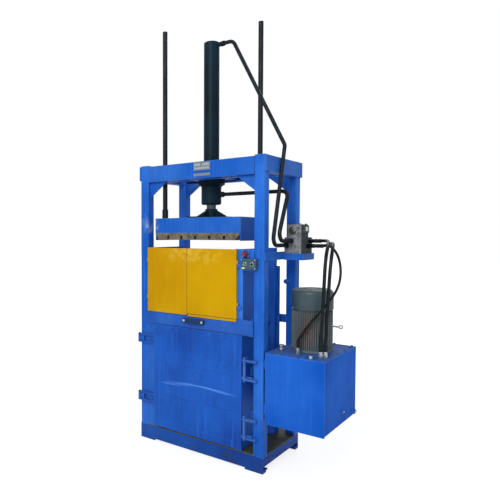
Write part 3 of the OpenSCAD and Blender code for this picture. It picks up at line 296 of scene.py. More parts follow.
def rusty(name, steel, brown, dark, light, patches=16.0, painted_shade_side=None):
    """Raw plate, rubbed bright in places and rusted in others, and painted shade right of a plane."""
    s = Shader(name)
    normal, edge = s.edges(0.003)
    coarse = s.noise(patches, 8.0, 0.72, distortion=0.6)
    fine = s.noise(120, 6.0, 0.7)
    color = s.mix(s.ramp(coarse, 0.36, 0.62), dark, brown)
    color = s.mix(s.ramp(fine, 0.52, 0.68, 0.0, 0.8), color, light)
    color = s.mix(s.math("MULTIPLY", edge, s.ramp(s.noise(40, 4.0), 0.4, 0.6)), color, steel)
    # Painted shade on the faces right of a plane
    if painted_shade_side:
        plane, tone = painted_shade_side
        shaded = s.ramp(s.axis(s.where, 0), plane - 0.0004, plane + 0.0004, 0.0, 0.85)
        color = s.mix(shaded, color, tone)
    s.set(s.surface.inputs["Base Color"], color)
    s.surface.inputs["Metallic"].default_value = 0.25
    s.set(s.surface.inputs["Roughness"], s.ramp(fine, 0.3, 0.7, 0.55, 0.9))
    pits = s.math("ADD", s.math("MULTIPLY", coarse, 0.5), s.math("MULTIPLY", fine, 0.5))
    s.link(s.bump(pits, 0.6, 0.0015, normal), s.surface.inputs["Normal"])
    return s.material


def moulded(name, base, worn, rough=0.45, upper=None):
    """Moulded plastic: fine skin, faint scuffs, and another tone above a height."""
    s = Shader(name)
    normal, edge = s.edges(0.0015)
    scuff = s.ramp(s.noise(70, 5.0, 0.7), 0.55, 0.75, 0.0, 0.5)
    color = s.mix(s.math("MAXIMUM", scuff, s.math("MULTIPLY", edge, 0.6)), base, worn)
    if upper:
        height, tone = upper
        color = s.mix(s.ramp(s.axis(s.where, 2), height - 0.001, height + 0.001), color, tone)
    s.set(s.surface.inputs["Base Color"], color)
    s.set(s.surface.inputs["Roughness"], s.ramp(s.noise(200, 2.0), 0.3, 0.7, rough - 0.06, rough + 0.1))
    s.link(s.bump(s.noise(900, 2.0), 0.15, 0.0003, normal), s.surface.inputs["Normal"])
    return s.material


def hose_skin(name):
    """Black rubber hose with faint wrap marks and a film of dust in patches."""
    s = Shader(name)
    wrap = s.noise(420, 2.0, 0.5, s.stretched(1, 1, 2.5))
    color = s.mix(s.ramp(s.noise(24, 5.0), 0.4, 0.7, 0.0, 0.6), srgb(8, 15, 17), srgb(26, 35, 38))
    s.set(s.surface.inputs["Base Color"], color)
    s.surface.inputs["Specular IOR Level"].default_value = 0.22
    s.set(s.surface.inputs["Roughness"], s.ramp(wrap, 0.3, 0.7, 0.32, 0.5))
    s.link(s.bump(wrap, 0.3, 0.0006), s.surface.inputs["Normal"])
    return s.material


# Tones that several materials share

BLUE = srgb(40, 102, 190)
BLUE_SHADE = srgb(14, 84, 178)
# Rim tone: a painted highlight along edges, partly edges rubbed pale
BLUE_RIM_HIGHLIGHT = srgb(104, 156, 236)
BLUE_DUST = srgb(96, 116, 146)
RUST = srgb(66, 42, 28)
ZINC = srgb(214, 216, 214)
ZINC_STAIN = srgb(140, 136, 126)
PALE_RUB = srgb(120, 150, 196)
WHITE_RUB = srgb(176, 192, 214)
BROWN_RUB = srgb(112, 78, 56)

# Scuffs and painted highlights: each has its middle, its half sizes in metres and its tone

post_scuffs = [(place(-500, 0, 1660), (0.05, 0.04, 0.09), PALE_RUB),
               (place(-455, 20, 1640), (0.04, 0.06, 0.08), WHITE_RUB),
               (place(530, 20, 420), (0.02, 0.03, 0.2), PALE_RUB)]
platen_scuffs = [(place(-393, 12, 1645), (0.05, 0.03, 0.06), WHITE_RUB)]
# The first two are painted highlights near the tops of the leaves; the third is a darker patch low on the
# left leaf
leaf_highlights_and_patch = [(place(-130, -20, 1440), (0.22, 0.04, 0.09), srgb(220, 184, 70)),
               (place(60, -20, 1440), (0.22, 0.04, 0.09), srgb(220, 184, 66)),
               (place(-260, -20, 1060), (0.16, 0.04, 0.06), srgb(178, 134, 16))]
fin_scuffs = [(place(800, 170, 950), (0.1, 0.08, 0.12), BROWN_RUB),
              (place(720, 150, 900), (0.08, 0.06, 0.1), BROWN_RUB),
              (place(775, 156, 985), (0.05, 0.05, 0.13), srgb(150, 96, 74)),
              (place(745, 150, 920), (0.06, 0.05, 0.1), srgb(138, 92, 70)),
              (place(640, 200, 980), (0.06, 0.06, 0.1), srgb(128, 126, 110))]

# The bright heads of the handle's two bolts, laid on three times to cover
bolt_scuffs = [(place(x, -41, 963), (0.012, 0.006, 0.012), srgb(198, 204, 210)) for x in (-87, 67)] * 3

# A painted highlight along the top edge of a rib across the bale door, as a string of thin spots
RIB_HIGHLIGHT_POINTS = ((-230, 474), (-150, 487), (-70, 497), (10, 502), (90, 501), (170, 497), (240, 491))
door_rib_highlight = [(place(x, -22, z), (0.13, 0.04, 0.007), srgb(96, 148, 226)) for x, z in RIB_HIGHLIGHT_POINTS]


# Enamels

blue = paint("blue_enamel", BLUE, BLUE_SHADE, RUST, BLUE_DUST,
             wear=0.4, grime=0.4, rim_highlight_and_rub=BLUE_RIM_HIGHLIGHT, streak=0.3, corner=0.006)
# A paler copy of the blue for the right wall's shaded outer face: painted light
blue_painted_light = paint("blue_enamel_painted_light", srgb(46, 116, 214), srgb(30, 98, 196), RUST, BLUE_DUST,
                  wear=0.4, grime=0.4, rim_highlight_and_rub=BLUE_RIM_HIGHLIGHT, streak=0.3, corner=0.006)
blue_post = paint("blue_enamel_posts", srgb(38, 107, 205), BLUE_SHADE, RUST, BLUE_DUST,
                  wear=0.45, grime=0.4, scuffs_and_highlights=post_scuffs, rim_highlight_and_rub=BLUE_RIM_HIGHLIGHT, streak=0.35, corner=0.009)
blue_platen = paint("blue_enamel_platen", BLUE, BLUE_SHADE, RUST, BLUE_DUST,
                    wear=0.65, grime=0.45, scuffs_and_highlights=platen_scuffs, rim_highlight_and_rub=BLUE_RIM_HIGHLIGHT, streak=0.3, corner=0.007)
blue_belt = paint("blue_enamel_belt", srgb(42, 98, 186), srgb(26, 78, 166), srgb(120, 146, 190), BLUE_DUST,
                  wear=0.7, grime=0.5, rim_highlight_and_rub=BLUE_RIM_HIGHLIGHT, streak=0.35)
blue_door = paint("blue_enamel_door", srgb(20, 88, 184), srgb(10, 66, 156), srgb(96, 140, 208), BLUE_DUST,
                  wear=0.7, grime=0.6, scuffs_and_highlights=door_rib_highlight, rim_highlight_and_rub=BLUE_RIM_HIGHLIGHT, streak=0.45)
blue_base = paint("blue_enamel_base", srgb(22, 80, 166), srgb(12, 60, 138), srgb(50, 58, 62),
                  srgb(70, 92, 110), wear=0.7, grime=0.5, rust_below=0.16, rim_highlight_and_rub=srgb(70, 118, 200))
blue_tank = paint("blue_enamel_tank", srgb(34, 98, 198), srgb(18, 82, 180), RUST, srgb(70, 92, 120),
                  wear=0.3, grime=0.4, rough=0.46, shine=0.02, rim_highlight_and_rub=BLUE_RIM_HIGHLIGHT, streak=0.3, corner=0.007)
blue_lid = paint("blue_enamel_lid", srgb(18, 92, 190), srgb(12, 76, 168), RUST, srgb(86, 98, 90),
                 wear=0.5, grime=0.4, rough=0.45, shine=0.08, rim_highlight_and_rub=BLUE_RIM_HIGHLIGHT)
handle_blue = paint("handle_enamel", srgb(34, 60, 104), srgb(22, 42, 80), srgb(120, 130, 140),
                    srgb(60, 84, 120), wear=0.6, rough=0.42, scuffs_and_highlights=bolt_scuffs)
yellow = paint("yellow_enamel", srgb(200, 154, 0), srgb(187, 138, 0), srgb(96, 70, 34), srgb(190, 164, 96),
               wear=0.4, grime=0.3, rough=0.42, scuffs_and_highlights=leaf_highlights_and_patch, shine=0.06, rim_highlight_and_rub=srgb(214, 190, 96),
               streak=0.15)
dark = paint("dark_enamel", srgb(18, 42, 54), srgb(10, 28, 36), srgb(60, 58, 52), srgb(56, 66, 70),
             wear=0.35, rough=0.4, shine=0.08)
motor_paint = paint("motor_enamel", srgb(72, 92, 98), srgb(54, 70, 76), srgb(92, 78, 62),
                    srgb(108, 114, 110), wear=0.45, rough=0.36, shine=0.35)
fin_paint = paint("motor_fin_enamel", srgb(112, 124, 130), srgb(92, 100, 100), srgb(112, 92, 72),
                  srgb(124, 120, 108), wear=0.6, grime=0.6, rough=0.5, scuffs_and_highlights=fin_scuffs, shine=0.25)


# Bare, plated and cast metal

# In metres of the row frame: right of the first the valve's right faces take painted shade, above the second
# the fittings are darker
VALVE_SHADE_PLANE = 0.4538
BLOCK_FITTINGS = 1.2

floor_plate = rusty("floor_plate", srgb(96, 100, 84), srgb(96, 90, 52), srgb(58, 66, 52), srgb(120, 102, 62))
press_plate = rusty("press_plate", srgb(156, 154, 140), srgb(118, 108, 84), srgb(66, 70, 70),
                    srgb(162, 148, 116), patches=26.0)
pipe_steel = bare("pipe_steel", srgb(16, 28, 36), srgb(10, 17, 22), metallic=0.0, rough=0.42,
                  grain=(1, 1, 0.1), shine=0.2)
chrome = bare("chrome", srgb(88, 94, 98), srgb(50, 52, 52), rough=0.2, stained=0.3, grain=(1, 1, 0.05))
zinc = bare("zinc", ZINC, ZINC_STAIN)
fitting_steel = bare("fitting_steel", ZINC, ZINC_STAIN, upper=(BLOCK_FITTINGS, srgb(30, 38, 42)))
plate_grey = bare("plate_grey", srgb(138, 146, 152), srgb(96, 104, 112), metallic=0.6, rough=0.4)
bronze = bare("bronze", srgb(176, 124, 64), srgb(96, 70, 40), rough=0.36)
cast = rusty("valve_casting", srgb(168, 170, 168), srgb(146, 148, 146), srgb(76, 86, 98),
             srgb(204, 202, 190), patches=70.0, painted_shade_side=(VALVE_SHADE_PLANE, srgb(40, 48, 52)))
valve_cap = rusty("valve_cap", srgb(110, 110, 90), srgb(78, 78, 58), srgb(52, 54, 42), srgb(104, 102, 80),
                  patches=60.0)
latch_steel = bare("latch_steel", srgb(58, 104, 184), srgb(30, 82, 172), metallic=0.1, rough=0.42,
                   stained=0.7)


# Plastic and rubber

# The control box is blue above this height in metres, where the stop button's housing stands
STOP_HOUSING = 1.425

box_skin = moulded("box_skin", srgb(48, 76, 96), srgb(92, 112, 128), 0.5,
                   upper=(STOP_HOUSING, srgb(74, 98, 168)))
red_cap = moulded("red_cap", srgb(138, 14, 34), srgb(184, 84, 92), 0.3)
green_cap = moulded("green_cap", srgb(18, 120, 58), srgb(60, 150, 90), 0.35)
black_cap = moulded("black_cap", srgb(22, 22, 24), srgb(60, 60, 62), 0.35)
pale_label = moulded("pale_label", srgb(206, 208, 204), srgb(160, 160, 152), 0.6)
grey_label = moulded("grey_label", srgb(150, 158, 164), srgb(112, 120, 126), 0.6)
yellow_label = moulded("yellow_label", srgb(222, 214, 140), srgb(190, 180, 120), 0.6)
hose = hose_skin("hose_skin")


# What each node is finished with

FINISHES = {
    blue: "top_ring corner_gussets cylinder_mount left_wall rear_wall rear_rails valve_rail hinge_knuckles "
          "latch_lugs",
    blue_painted_light: "right_wall",
    blue_post: "corner_posts",
    blue_platen: "platen",
    blue_belt: "belt_beam",
    blue_door: "lower_door door_straps",
    blue_base: "base_frame",
    blue_tank: "oil_tank",
    blue_lid: "tank_lid",
    handle_blue: "belt_handle",
    yellow: "feed_leaf_left feed_leaf_right sill_strip",
    dark: "cylinder_barrel cylinder_head rod_foot",
    motor_paint: "fan_cowl bell_housing",
    fin_paint: "motor_body",
    floor_plate: "chamber_floor",
    press_plate: "press_face",
    pipe_steel: "cap_pipe gland_pipe guide_rods rod_collars hinge_pins flange_bolts piston motor_rotor "
                "shaft_coupling",
    chrome: "piston_rod pump_shaft",
    zinc: "filler_cap gear_pump delivery_pipe eye_bolt",
    fitting_steel: "hose_fittings",
    bronze: "guide_bushes suction_strainer",
    cast: "valve_manifold directional_valve",
    latch_steel: "latch_upper latch_lower",
    box_skin: "control_box",
    red_cap: "estop_button",
    green_cap: "up_button",
    black_cap: "down_button cooling_fan",
    hose: "pressure_hose return_hose pilot_hose"}

for finish, names in FINISHES.items():
    for node_name in names.split():
        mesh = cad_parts[node_name].data
        mesh.materials.clear()
        mesh.materials.append(finish)


# Mesh building

def from_bmesh(name, build, material, body, smooth_angle=None):
    """A piece whose mesh a function builds, riding on a body and smooth up to an angle in degrees."""
    bm = bmesh.new()
    build(bm)
    mesh_data = bpy.data.meshes.new(name)
    bm.to_mesh(mesh_data)
    bm.free()
    if smooth_angle is not None:
        for face in mesh_data.polygons:
            face.use_smooth = True
        mesh_data.set_sharp_from_angle(angle=math.radians(smooth_angle))
    piece = bpy.data.objects.new(name, mesh_data)
    bpy.context.scene.collection.objects.link(piece)
    piece.data.materials.append(material)
    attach(piece, body)
    return piece


def laid_along(a, b, at):
    """The transform that lays a mesh's Z axis along the run from a to b and moves it to a point."""
    return Matrix.Translation(at) @ (b - a).to_track_quat("Z", "Y").to_matrix().to_4x4()


def edges_of(verts):
    """Each edge at some vertices once, in the order in which they are found."""
    return list(dict.fromkeys(e for v in verts for e in v.link_edges))


def add_block(bm, low, high, round_by):
    """A block between two corners in millimetres, with rounded edges."""
    a, b = place(*low), place(*high)
    made = bmesh.ops.create_cube(bm, size=1.0)["verts"]
    bmesh.ops.scale(bm, vec=b - a, verts=made)
    bmesh.ops.translate(bm, vec=(a + b) / 2, verts=made)
    bmesh.ops.bevel(bm, geom=edges_of(made), offset=round_by / 1000, segments=2, affect="EDGES", profile=0.7)


def add_rod(bm, start, end, diameter, sides, end_diameter=None, chamfer=0.0):
    """A rod between two points in millimetres; six sides make a hexagon head."""
    a, b = place(*start), place(*end)
    made = bmesh.ops.create_cone(bm, cap_ends=True, segments=sides, radius1=diameter / 2000,
                                 radius2=(end_diameter or diameter) / 2000, depth=(b - a).length)["verts"]
    bmesh.ops.transform(bm, matrix=laid_along(a, b, (a + b) / 2), verts=made)
    if chamfer:
        rims = [e for e in edges_of(made) if max(len(f.verts) for f in e.link_faces) == sides]
        bmesh.ops.bevel(bm, geom=rims, offset=chamfer / 1000, segments=2, affect="EDGES")


def add_ring(bm, centre, radius, thickness, parts):
    """A ring of short rods round a point, facing the front."""
    x, y, z = centre
    for i in range(parts):
        a, b = (math.radians(360 / parts * k) for k in (i, i + 1))
        add_rod(bm, (x + radius * math.cos(a), y, z + radius * math.sin(a)),
                (x + radius * math.cos(b), y, z + radius * math.sin(b)), thickness, 8)


def add_beads(bm, runs, size, seed):
    """Weld beads: a string of overlapping ripples along each run of points in millimetres."""
    for number, points in enumerate(runs):
        draw = random.Random(seed + number)
        path = [place(*p) for p in points]
        for a, b in zip(path, path[1:]):
            count = max(2, int((b - a).length / (size / 1000 * 0.55)))
            for i in range(count + 1):
                radius = size / 2000 * draw.uniform(0.88, 1.1)
                made = bmesh.ops.create_icosphere(bm, subdivisions=1, radius=radius)["verts"]
                bmesh.ops.scale(bm, vec=(1.0, 1.0, 0.6), verts=made)
                bmesh.ops.transform(bm, matrix=laid_along(a, b, a.lerp(b, i / count)), verts=made)


# Hoses: the routes are those of the part's source

PRESSURE_ROUTE = [
    (708, 400, 1535), (736, 400, 1535), (780, 385, 1537), (818, 342, 1535), (850, 276, 1526),
    (872, 212, 1504), (886, 156, 1466), (893, 122, 1414), (895, 106, 1356), (895, 100, 1296),
    (893, 98, 1236), (890, 97, 1176), (888, 96, 1116), (886, 95, 1056), (885, 92, 996), (883, 88, 940),
    (882, 84, 895), (882, 84, 851)]
RETURN_ROUTE = [
    (708, 434, 1500), (746, 434, 1500), (790, 416, 1508), (830, 372, 1517), (864, 312, 1519),
    (890, 250, 1508), (908, 194, 1480), (918, 152, 1432), (921, 130, 1376), (920, 121, 1316),
    (918, 118, 1256), (915, 117, 1196), (912, 116, 1136), (910, 115, 1076), (908, 112, 1016),
    (907, 108, 956), (906, 102, 900), (906, 102, 851)]
PILOT_ROUTE = [
    (708, 366, 1500), (748, 366, 1500), (798, 348, 1506), (846, 308, 1502), (892, 262, 1482),
    (932, 220, 1446), (960, 188, 1396), (971.5, 168, 1338), (968, 156, 1278), (948, 150, 1222),
    (918, 146, 1172), (884, 142, 1124), (848, 136, 1080), (814, 130, 1038), (782, 122, 994),
    (752, 111, 946), (724, 100, 895), (724, 100, 851)]

# Points of the curve from one point of the route to the next
CURVE_STEPS = 6

# The crimp sleeve's length in metres, and its bands: where each starts along it, and its width on the hose's
SLEEVE_LENGTH = 0.042
SLEEVE_BANDS = ((0.0, 1.24), (0.34, 1.16), (0.68, 1.24))

# A band's length as a share of the sleeve's, and how much longer it is made, in metres
BAND_LENGTH = 0.3
BAND_LAP = 0.003


def smooth_path(points):
    """A curve through the route's points."""
    path = [place(*p) for p in points]
    ends = [2 * path[0] - path[1]] + path + [2 * path[-1] - path[-2]]
    run = []
    for a, b, c, d in zip(ends, ends[1:], ends[2:], ends[3:]):
        for i in range(CURVE_STEPS):
            t = i / CURVE_STEPS
            run.append(0.5 * ((2 * b) + (c - a) * t + (2 * a - 5 * b + 4 * c - d) * t * t
                              + (3 * b - a - 3 * c + d) * t ** 3))
    return run + [path[-1]]


def add_sleeve(bm, tip, inner, hose_diameter):
    """The crimp sleeve on a hose's end, from its tip towards a point further in."""
    far = tip + (inner - tip).normalized() * SLEEVE_LENGTH
    for start, width in SLEEVE_BANDS:
        a = tip.lerp(far, start)
        b = tip.lerp(far, min(1.0, start + BAND_LENGTH))
        radius = hose_diameter / 2000 * width
        made = bmesh.ops.create_cone(bm, cap_ends=True, segments=24, radius1=radius, radius2=radius,
                                     depth=(b - a).length + BAND_LAP)["verts"]
        bmesh.ops.transform(bm, matrix=laid_along(a, b, (a + b) / 2), verts=made)


def make_hose(name, node, route, diameter):
    """A hose of a diameter in millimetres, a round tube along a curve, with a sleeve at each end."""
    run = smooth_path(route)
    data = bpy.data.curves.new(name, "CURVE")
    data.dimensions = "3D"
    data.bevel_depth = diameter / 2000
    data.bevel_resolution = 4
    data.use_fill_caps = True
    line = data.splines.new("POLY")
    line.points.add(len(run) - 1)
    for point, at in zip(line.points, run):
        point.co = (*at, 1.0)
    piece = bpy.data.objects.new(name, data)
    bpy.context.scene.collection.objects.link(piece)
    data.materials.append(hose)
    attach(piece, "frame")
    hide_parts(node)
    ends = {"start": (run[0], run[CURVE_STEPS]), "end": (run[-1], run[-1 - CURVE_STEPS])}
    sleeves = [from_bmesh(name + "_sleeve_" + label, lambda bm: add_sleeve(bm, tip, inner, diameter),
                          pipe_steel, "frame", smooth_angle=35)
               for label, (tip, inner) in ends.items()]


make_hose("pressure_line", "pressure_hose", PRESSURE_ROUTE, 22)
make_hose("return_line", "return_hose", RETURN_ROUTE, 22)
make_hose("pilot_line", "pilot_hose", PILOT_ROUTE, 16)


# Front beam: two bare plates with raised fields and rivets

(_, beam_front, beam_bottom), (_, _, beam_top) = box_of("top_ring")
PLATE_X = (-32, 109)
PLATE_T = 2
PLATE_MARGIN = 8
NAMEPLATE_Z = (beam_top - 65, beam_top - 7)
LABEL_Z = (beam_top - 105, beam_top - 85)


def beam_plates(bm):
    for low, high in (NAMEPLATE_Z, LABEL_Z):
        add_block(bm, (PLATE_X[0], beam_front - PLATE_T, low), (PLATE_X[1], beam_front, high), 0.6)


def beam_plate_fields(bm):
    left, right = PLATE_X[0] + PLATE_MARGIN, PLATE_X[1] - PLATE_MARGIN
    front, back = beam_front - PLATE_T - 0.6, beam_front - PLATE_T + 0.1
    bottom = NAMEPLATE_Z[0]
    for x0, z0, x1, z1 in ((left, 8, right, 22), (left, 30, left + 52, 50), (left + 68, 30, right, 50)):
        add_block(bm, (x0, front, bottom + z0), (x1, back, bottom + z1), 0.2)


def beam_plate_rivets(bm):
    face = beam_front - PLATE_T
    for x in (PLATE_X[0] + 4, PLATE_X[1] - 4):
        for z in (NAMEPLATE_Z[0] + 4, NAMEPLATE_Z[1] - 4, sum(LABEL_Z) / 2):
            add_rod(bm, (x, face, z), (x, face - 1.6, z), 5, 12, end_diameter=3)


from_bmesh("beam_plates", beam_plates, plate_grey, "frame")
from_bmesh("beam_plate_fields", beam_plate_fields, grey_label, "frame")
from_bmesh("beam_plate_rivets", beam_plate_rivets, zinc, "frame", smooth_angle=40)


# Control box: cover strips over and under the buttons, screws, bezels, a plain sticker and the stop's collar

(box_left, box_front, box_bottom), (box_right, _, _) = box_of("control_box")
COVER_T = 2
COVER_STRIPS = ((box_bottom + 2, box_bottom + 26), (box_bottom + 44, box_bottom + 68))
BEZEL_RADIUS = 12
STOP_FACE = box_front + 23
STOP_COLLAR_RADIUS = 20


def box_cover(bm):
    for low, high in COVER_STRIPS:
        add_block(bm, (box_left + 6, box_front - COVER_T, low), (box_right - 2, box_front, high), 0.8)


def box_screws(bm):
    for x in (box_left + 10, box_right - 6):
        for z in (box_bottom + 6, box_bottom + 64):
            add_rod(bm, (x, box_front, z), (x, box_front - 4.5, z), 10, 16, end_diameter=8)
    stop_x, _, stop_z = middle_of("estop_button")
    for x in (stop_x - 20, stop_x + 20):
        for z in (stop_z - 16, stop_z + 16):
            add_rod(bm, (x, STOP_FACE, z), (x, STOP_FACE - 3, z), 6, 16, end_diameter=5)


def button_bezels(bm):
    for button in ("up_button", "down_button"):
        x, _, z = middle_of(button)
        add_ring(bm, (x, box_front - 1.5, z), BEZEL_RADIUS, 4.5, 24)


def box_sticker(bm):
    add_block(bm, (box_left + 14, box_front - COVER_T - 1, box_bottom + 3),
              (box_left + 34, box_front - COVER_T + 0.1, box_bottom + 13), 0.2)


def stop_collar(bm):
    x, _, z = middle_of("estop_button")
    add_ring(bm, (x, STOP_FACE - 1.5, z), STOP_COLLAR_RADIUS, 5, 28)


from_bmesh("box_cover", box_cover, box_skin, "frame")
from_bmesh("box_screws", box_screws, zinc, "frame", smooth_angle=40)
from_bmesh("button_bezels", button_bezels, zinc, "frame", smooth_angle=50)
from_bmesh("box_sticker", box_sticker, yellow_label, "frame")


# Tank: bolts round its lid and plugs in its right side

BOLT_W = 13
BOLT_H = 6
WASHER_T = 2


def lid_bolts(bm):
    """Hexagon heads on washers."""
    (left, front, _), (right, back, top) = box_of("tank_lid")
    ends = [(x, y) for x in (left + 23, left + 147, left + 257, right - 23) for y in (front + 16, back - 16)]
    sides = [(x, front + y) for y in (130, 250, 370, 470) for x in (left + 13, right - 13)]
    for x, y in ends + sides:
        add_rod(bm, (x, y, top), (x, y, top + WASHER_T), BOLT_W * 1.35, 20)
        add_rod(bm, (x, y, top + WASHER_T), (x, y, top + WASHER_T + BOLT_H), BOLT_W * 1.12, 6)


def drain_plugs(bm):
    right = box_of("oil_tank")[1][0]
    add_rod(bm, (right, 515, 372), (right + 8, 515, 372), 24, 6, chamfer=1)
    add_rod(bm, (right - 4, 298, 427), (right + 2, 298, 427), 16, 6, chamfer=1)


# Motor: screws of its cowl, and of the terminal box with its gland

motor_x, motor_y, _ = middle_of("fan_cowl")
TERMINAL_BACK = box_of("motor_body")[1][1]
TERMINAL_Z = (931, 1014)


def cowl_screws(bm):
    (left, _, bottom), (right, _, _) = box_of("fan_cowl")
    radius = (right - left) / 2
    inner, outer, z = radius - 0.5, radius + 3.5, bottom + 6
    for angle in (45, 135, 225, 315):
        c, t = math.cos(math.radians(angle)), math.sin(math.radians(angle))
        add_rod(bm, (motor_x + inner * c, motor_y + inner * t, z),
                (motor_x + outer * c, motor_y + outer * t, z), 9, 16, end_diameter=7)


def terminal_screws(bm):
    for x in (motor_x - 42, motor_x + 42):
        for z in (TERMINAL_Z[0] + 7, TERMINAL_Z[1] - 7):
            add_rod(bm, (x, TERMINAL_BACK, z), (x, TERMINAL_BACK + 3, z), 7, 16, end_diameter=6)


def terminal_gland(bm):
    y, top = TERMINAL_BACK - 23.5, TERMINAL_Z[0]
    add_rod(bm, (motor_x, y, top), (motor_x, y, top - 12), 24, 6)
    add_rod(bm, (motor_x, y, top - 12), (motor_x, y, top - 23), 18, 20)


# Pipes and valve: union nuts at the cylinder, the valve's screws, coil caps and label

PIPE_D = 27
(valve_left, valve_front, valve_bottom), (valve_right, _, valve_top) = box_of("directional_valve")


def union_nuts(bm):
    cylinder_y = middle_of("cylinder_barrel")[1]
    for pipe in ("cap_pipe", "gland_pipe"):
        (x, _, _), (_, _, top) = box_of(pipe)
        z = top - PIPE_D / 2
        add_rod(bm, (x - 14, cylinder_y, z), (x + 10, cylinder_y, z), 40, 6)


def valve_screws(bm):
    for y in (valve_front + 24, valve_front + 112):
        for x in (valve_left + 12, valve_left + 88):
            add_rod(bm, (x, y, valve_top), (x, y, valve_top + 6), 12, 20, end_diameter=11)


def solenoid_caps(bm):
    x, y, z = valve_left + 38, valve_front + 12, valve_bottom + 46
    add_rod(bm, (x, y, z), (x, y - 8, z), 52, 32, end_diameter=50, chamfer=1.5)
    add_rod(bm, (x, y - 7.8, z), (x, y - 13, z), 26, 6, chamfer=1)
    for screw_z in (z + 16, z - 18):
        add_rod(bm, (x + 40, y, screw_z), (x + 40, y - 3, screw_z), 12, 20, end_diameter=10)


def coil_label(bm):
    add_block(bm, (valve_right - 0.5, valve_front + 44, valve_bottom + 42),
              (valve_right + 0.8, valve_front + 86, valve_bottom + 72), 0.2)


# Welds, whose seeds keep every bead's ripples the same

GUSSET_T = 10
GUSSET_DOWN = 111
GUSSET_ALONG = 150
LUG_T = 10
LUG_X = (456, 489)
LUG_Z = (215, 341, 610, 736)
KNUCKLE_X = (-528, -491)
KNUCKLE_END_Z = (310, 354, 762, 806)
STRAP_T = 10
STRAP_Y = (-20, -9)
STRAP_Z = (299.5, 354.5, 751.5, 806.5)
BOSS_AT = (18.5, -22, 560)
BOSS_D = 54


def frame_welds(bm):
    (_, gusset_front, _), (inner, gusset_back, gusset_top) = box_of("corner_gussets")
    (_, _, foot), (outer, _, _) = box_of("corner_posts")
    gussets = (((gusset_front - 0.5, gusset_front + GUSSET_T + 0.5), beam_bottom),
               ((gusset_back - GUSSET_T - 0.5, gusset_back + 0.5), gusset_top))
    runs = []
    for side in (-1, 1):
        x = side * inner
        for faces, top in gussets:
            for y in faces:
                runs.append([(x, y, top - GUSSET_DOWN), (x, y, top - 2)])
                runs.append([(x - side * 4, y, top), (x - side * GUSSET_ALONG, y, top)])
        runs.append([(x, 0, beam_bottom + 5), (x, 0, beam_top - 7)])
        runs.append([(side * outer, 2, beam_bottom + 15), (side * outer, 68, beam_bottom + 15)])
    for x in (inner, -inner, outer, -outer):
        runs.append([(x, 0, foot + 1), (x, 69, foot + 1)])
    add_beads(bm, runs, size=6, seed=100)


def lug_welds(bm):
    lug_faces = [z + face for z in LUG_Z for face in (0, LUG_T)]
    add_beads(bm, [[(x, -1, z) for x in LUG_X] for z in lug_faces], size=4.5, seed=200)
    add_beads(bm, [[(x, -1, z) for x in KNUCKLE_X] for z in KNUCKLE_END_Z], size=4.5, seed=220)


def ram_welds(bm):
    (left, front, bottom), (right, back, _) = box_of("rod_foot")
    corners = [(x, y, bottom + 1) for x, y in ((left, front), (right, front), (right, back), (left, back))]
    add_beads(bm, zip(corners, corners[1:] + corners[:1]), size=6, seed=240)


def door_welds(bm):
    door_left = box_of("lower_door")[0][0]
    strap_faces = [z + face for z in STRAP_Z for face in (0, STRAP_T)]
    add_beads(bm, [[(door_left, y, z) for y in STRAP_Y] for z in strap_faces], size=4, seed=260)
    x, y, z = BOSS_AT
    turns = [math.radians(20 * i) for i in range(19)]
    round_boss = [(x + BOSS_D / 2 * math.cos(turn), y, z + BOSS_D / 2 * math.sin(turn)) for turn in turns]
    add_beads(bm, [round_boss], size=5, seed=280)


from_bmesh("lid_bolts", lid_bolts, blue_lid, "frame", smooth_angle=40)
from_bmesh("cowl_screws", cowl_screws, zinc, "frame", smooth_angle=40)
from_bmesh("terminal_screws", terminal_screws, zinc, "frame", smooth_angle=40)
from_bmesh("terminal_gland", terminal_gland, black_cap, "frame", smooth_angle=40)
from_bmesh("union_nuts", union_nuts, pipe_steel, "frame", smooth_angle=40)
from_bmesh("stop_collar", stop_collar, black_cap, "frame", smooth_angle=50)
from_bmesh("solenoid_caps", solenoid_caps, valve_cap, "frame", smooth_angle=35)
from_bmesh("drain_plugs", drain_plugs, zinc, "frame", smooth_angle=40)
from_bmesh("valve_screws", valve_screws, pipe_steel, "frame", smooth_angle=40)
from_bmesh("coil_label", coil_label, pale_label, "frame")
from_bmesh("frame_welds", frame_welds, blue, "frame", smooth_angle=60)
from_bmesh("lug_welds", lug_welds, blue, "frame", smooth_angle=60)
from_bmesh("ram_welds", ram_welds, dark, "press_ram", smooth_angle=60)
from_bmesh("door_welds", door_welds, blue_door, "bale_door", smooth_angle=60)


# Floor, lights and world: places and sizes in metres

FLOOR_SIZE = 60.0

# How much of the white glow the camera sees on the floor, near the machine and out in the open
GLOW_NEAR = 0.68
GLOW_OPEN = 1.0
GLOW_REACH = (1.1, 2.6)


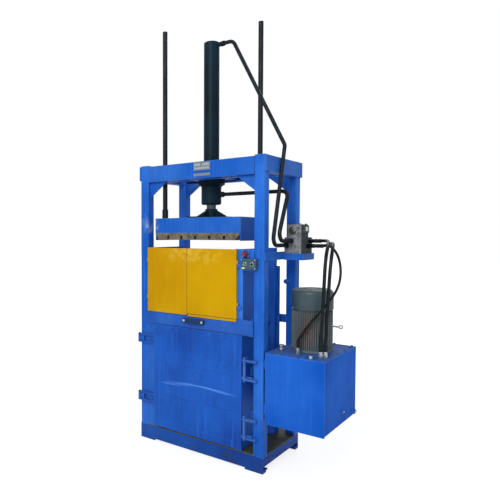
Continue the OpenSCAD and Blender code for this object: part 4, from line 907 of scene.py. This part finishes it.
def make_floor():
    bpy.ops.mesh.primitive_plane_add(size=FLOOR_SIZE, location=(0, 0, 0))
    floor = bpy.context.object
    floor.name = "floor"
    s = Shader("floor_white")
    s.surface.inputs["Base Color"].default_value = (0.86, 0.86, 0.86, 1)
    s.surface.inputs["Roughness"].default_value = 0.9
    s.surface.inputs["Specular IOR Level"].default_value = 0.1
    glow = s.add("ShaderNodeEmission")
    glow.inputs["Strength"].default_value = 1.2
    blend = s.add("ShaderNodeMixShader")
    camera_ray = s.add("ShaderNodeLightPath").outputs["Is Camera Ray"]
    reach = s.add("ShaderNodeVectorMath", operation="LENGTH")
    s.link(s.where, reach.inputs[0])
    open_floor = s.ramp(reach.outputs["Value"], *GLOW_REACH, GLOW_NEAR, GLOW_OPEN)
    s.link(s.math("MULTIPLY", camera_ray, open_floor), blend.inputs[0])
    s.link(s.surface.outputs[0], blend.inputs[1])
    s.link(glow.outputs[0], blend.inputs[2])
    s.link(blend.outputs[0], s.output.inputs[0])
    floor.data.materials.append(s.material)


def make_light(name, location, aim, size, power):
    data = bpy.data.lights.new(name, "AREA")
    data.shape = "RECTANGLE"
    data.size, data.size_y = size
    data.energy = power
    lamp = bpy.data.objects.new(name, data)
    bpy.context.scene.collection.objects.link(lamp)
    lamp.location = location
    lamp.rotation_euler = (Vector(aim) - Vector(location)).to_track_quat("-Z", "Y").to_euler()


def make_world():
    """Soft sky light on the object, and plain white behind it for the camera."""
    world = bpy.data.worlds.new("studio")
    bpy.context.scene.world = world
    world.use_nodes = True
    tree = world.node_tree
    tree.nodes.clear()
    output = tree.nodes.new("ShaderNodeOutputWorld")
    soft = tree.nodes.new("ShaderNodeBackground")
    soft.inputs["Color"].default_value = (0.93, 0.96, 1.0, 1)
    soft.inputs["Strength"].default_value = 0.6
    white = tree.nodes.new("ShaderNodeBackground")
    white.inputs["Color"].default_value = (1, 1, 1, 1)
    blend = tree.nodes.new("ShaderNodeMixShader")
    path = tree.nodes.new("ShaderNodeLightPath")
    tree.links.new(path.outputs["Is Camera Ray"], blend.inputs[0])
    tree.links.new(soft.outputs[0], blend.inputs[1])
    tree.links.new(white.outputs[0], blend.inputs[2])
    tree.links.new(blend.outputs[0], output.inputs[0])


make_floor()
make_light("key", location=(0.9, -5.0, 4.0), aim=(0.0, 0.0, 1.2), size=(2.6, 2.6), power=175)
make_light("fill", location=(4.4, -1.6, 3.0), aim=(0.2, 0.0, 1.2), size=(3.0, 3.0), power=24)
make_light("back", location=(-1.5, 4.0, 4.5), aim=(0.0, 0.0, 1.6), size=(3.0, 2.0), power=60)
make_world()
bpy.context.scene.view_settings.view_transform = "Standard"
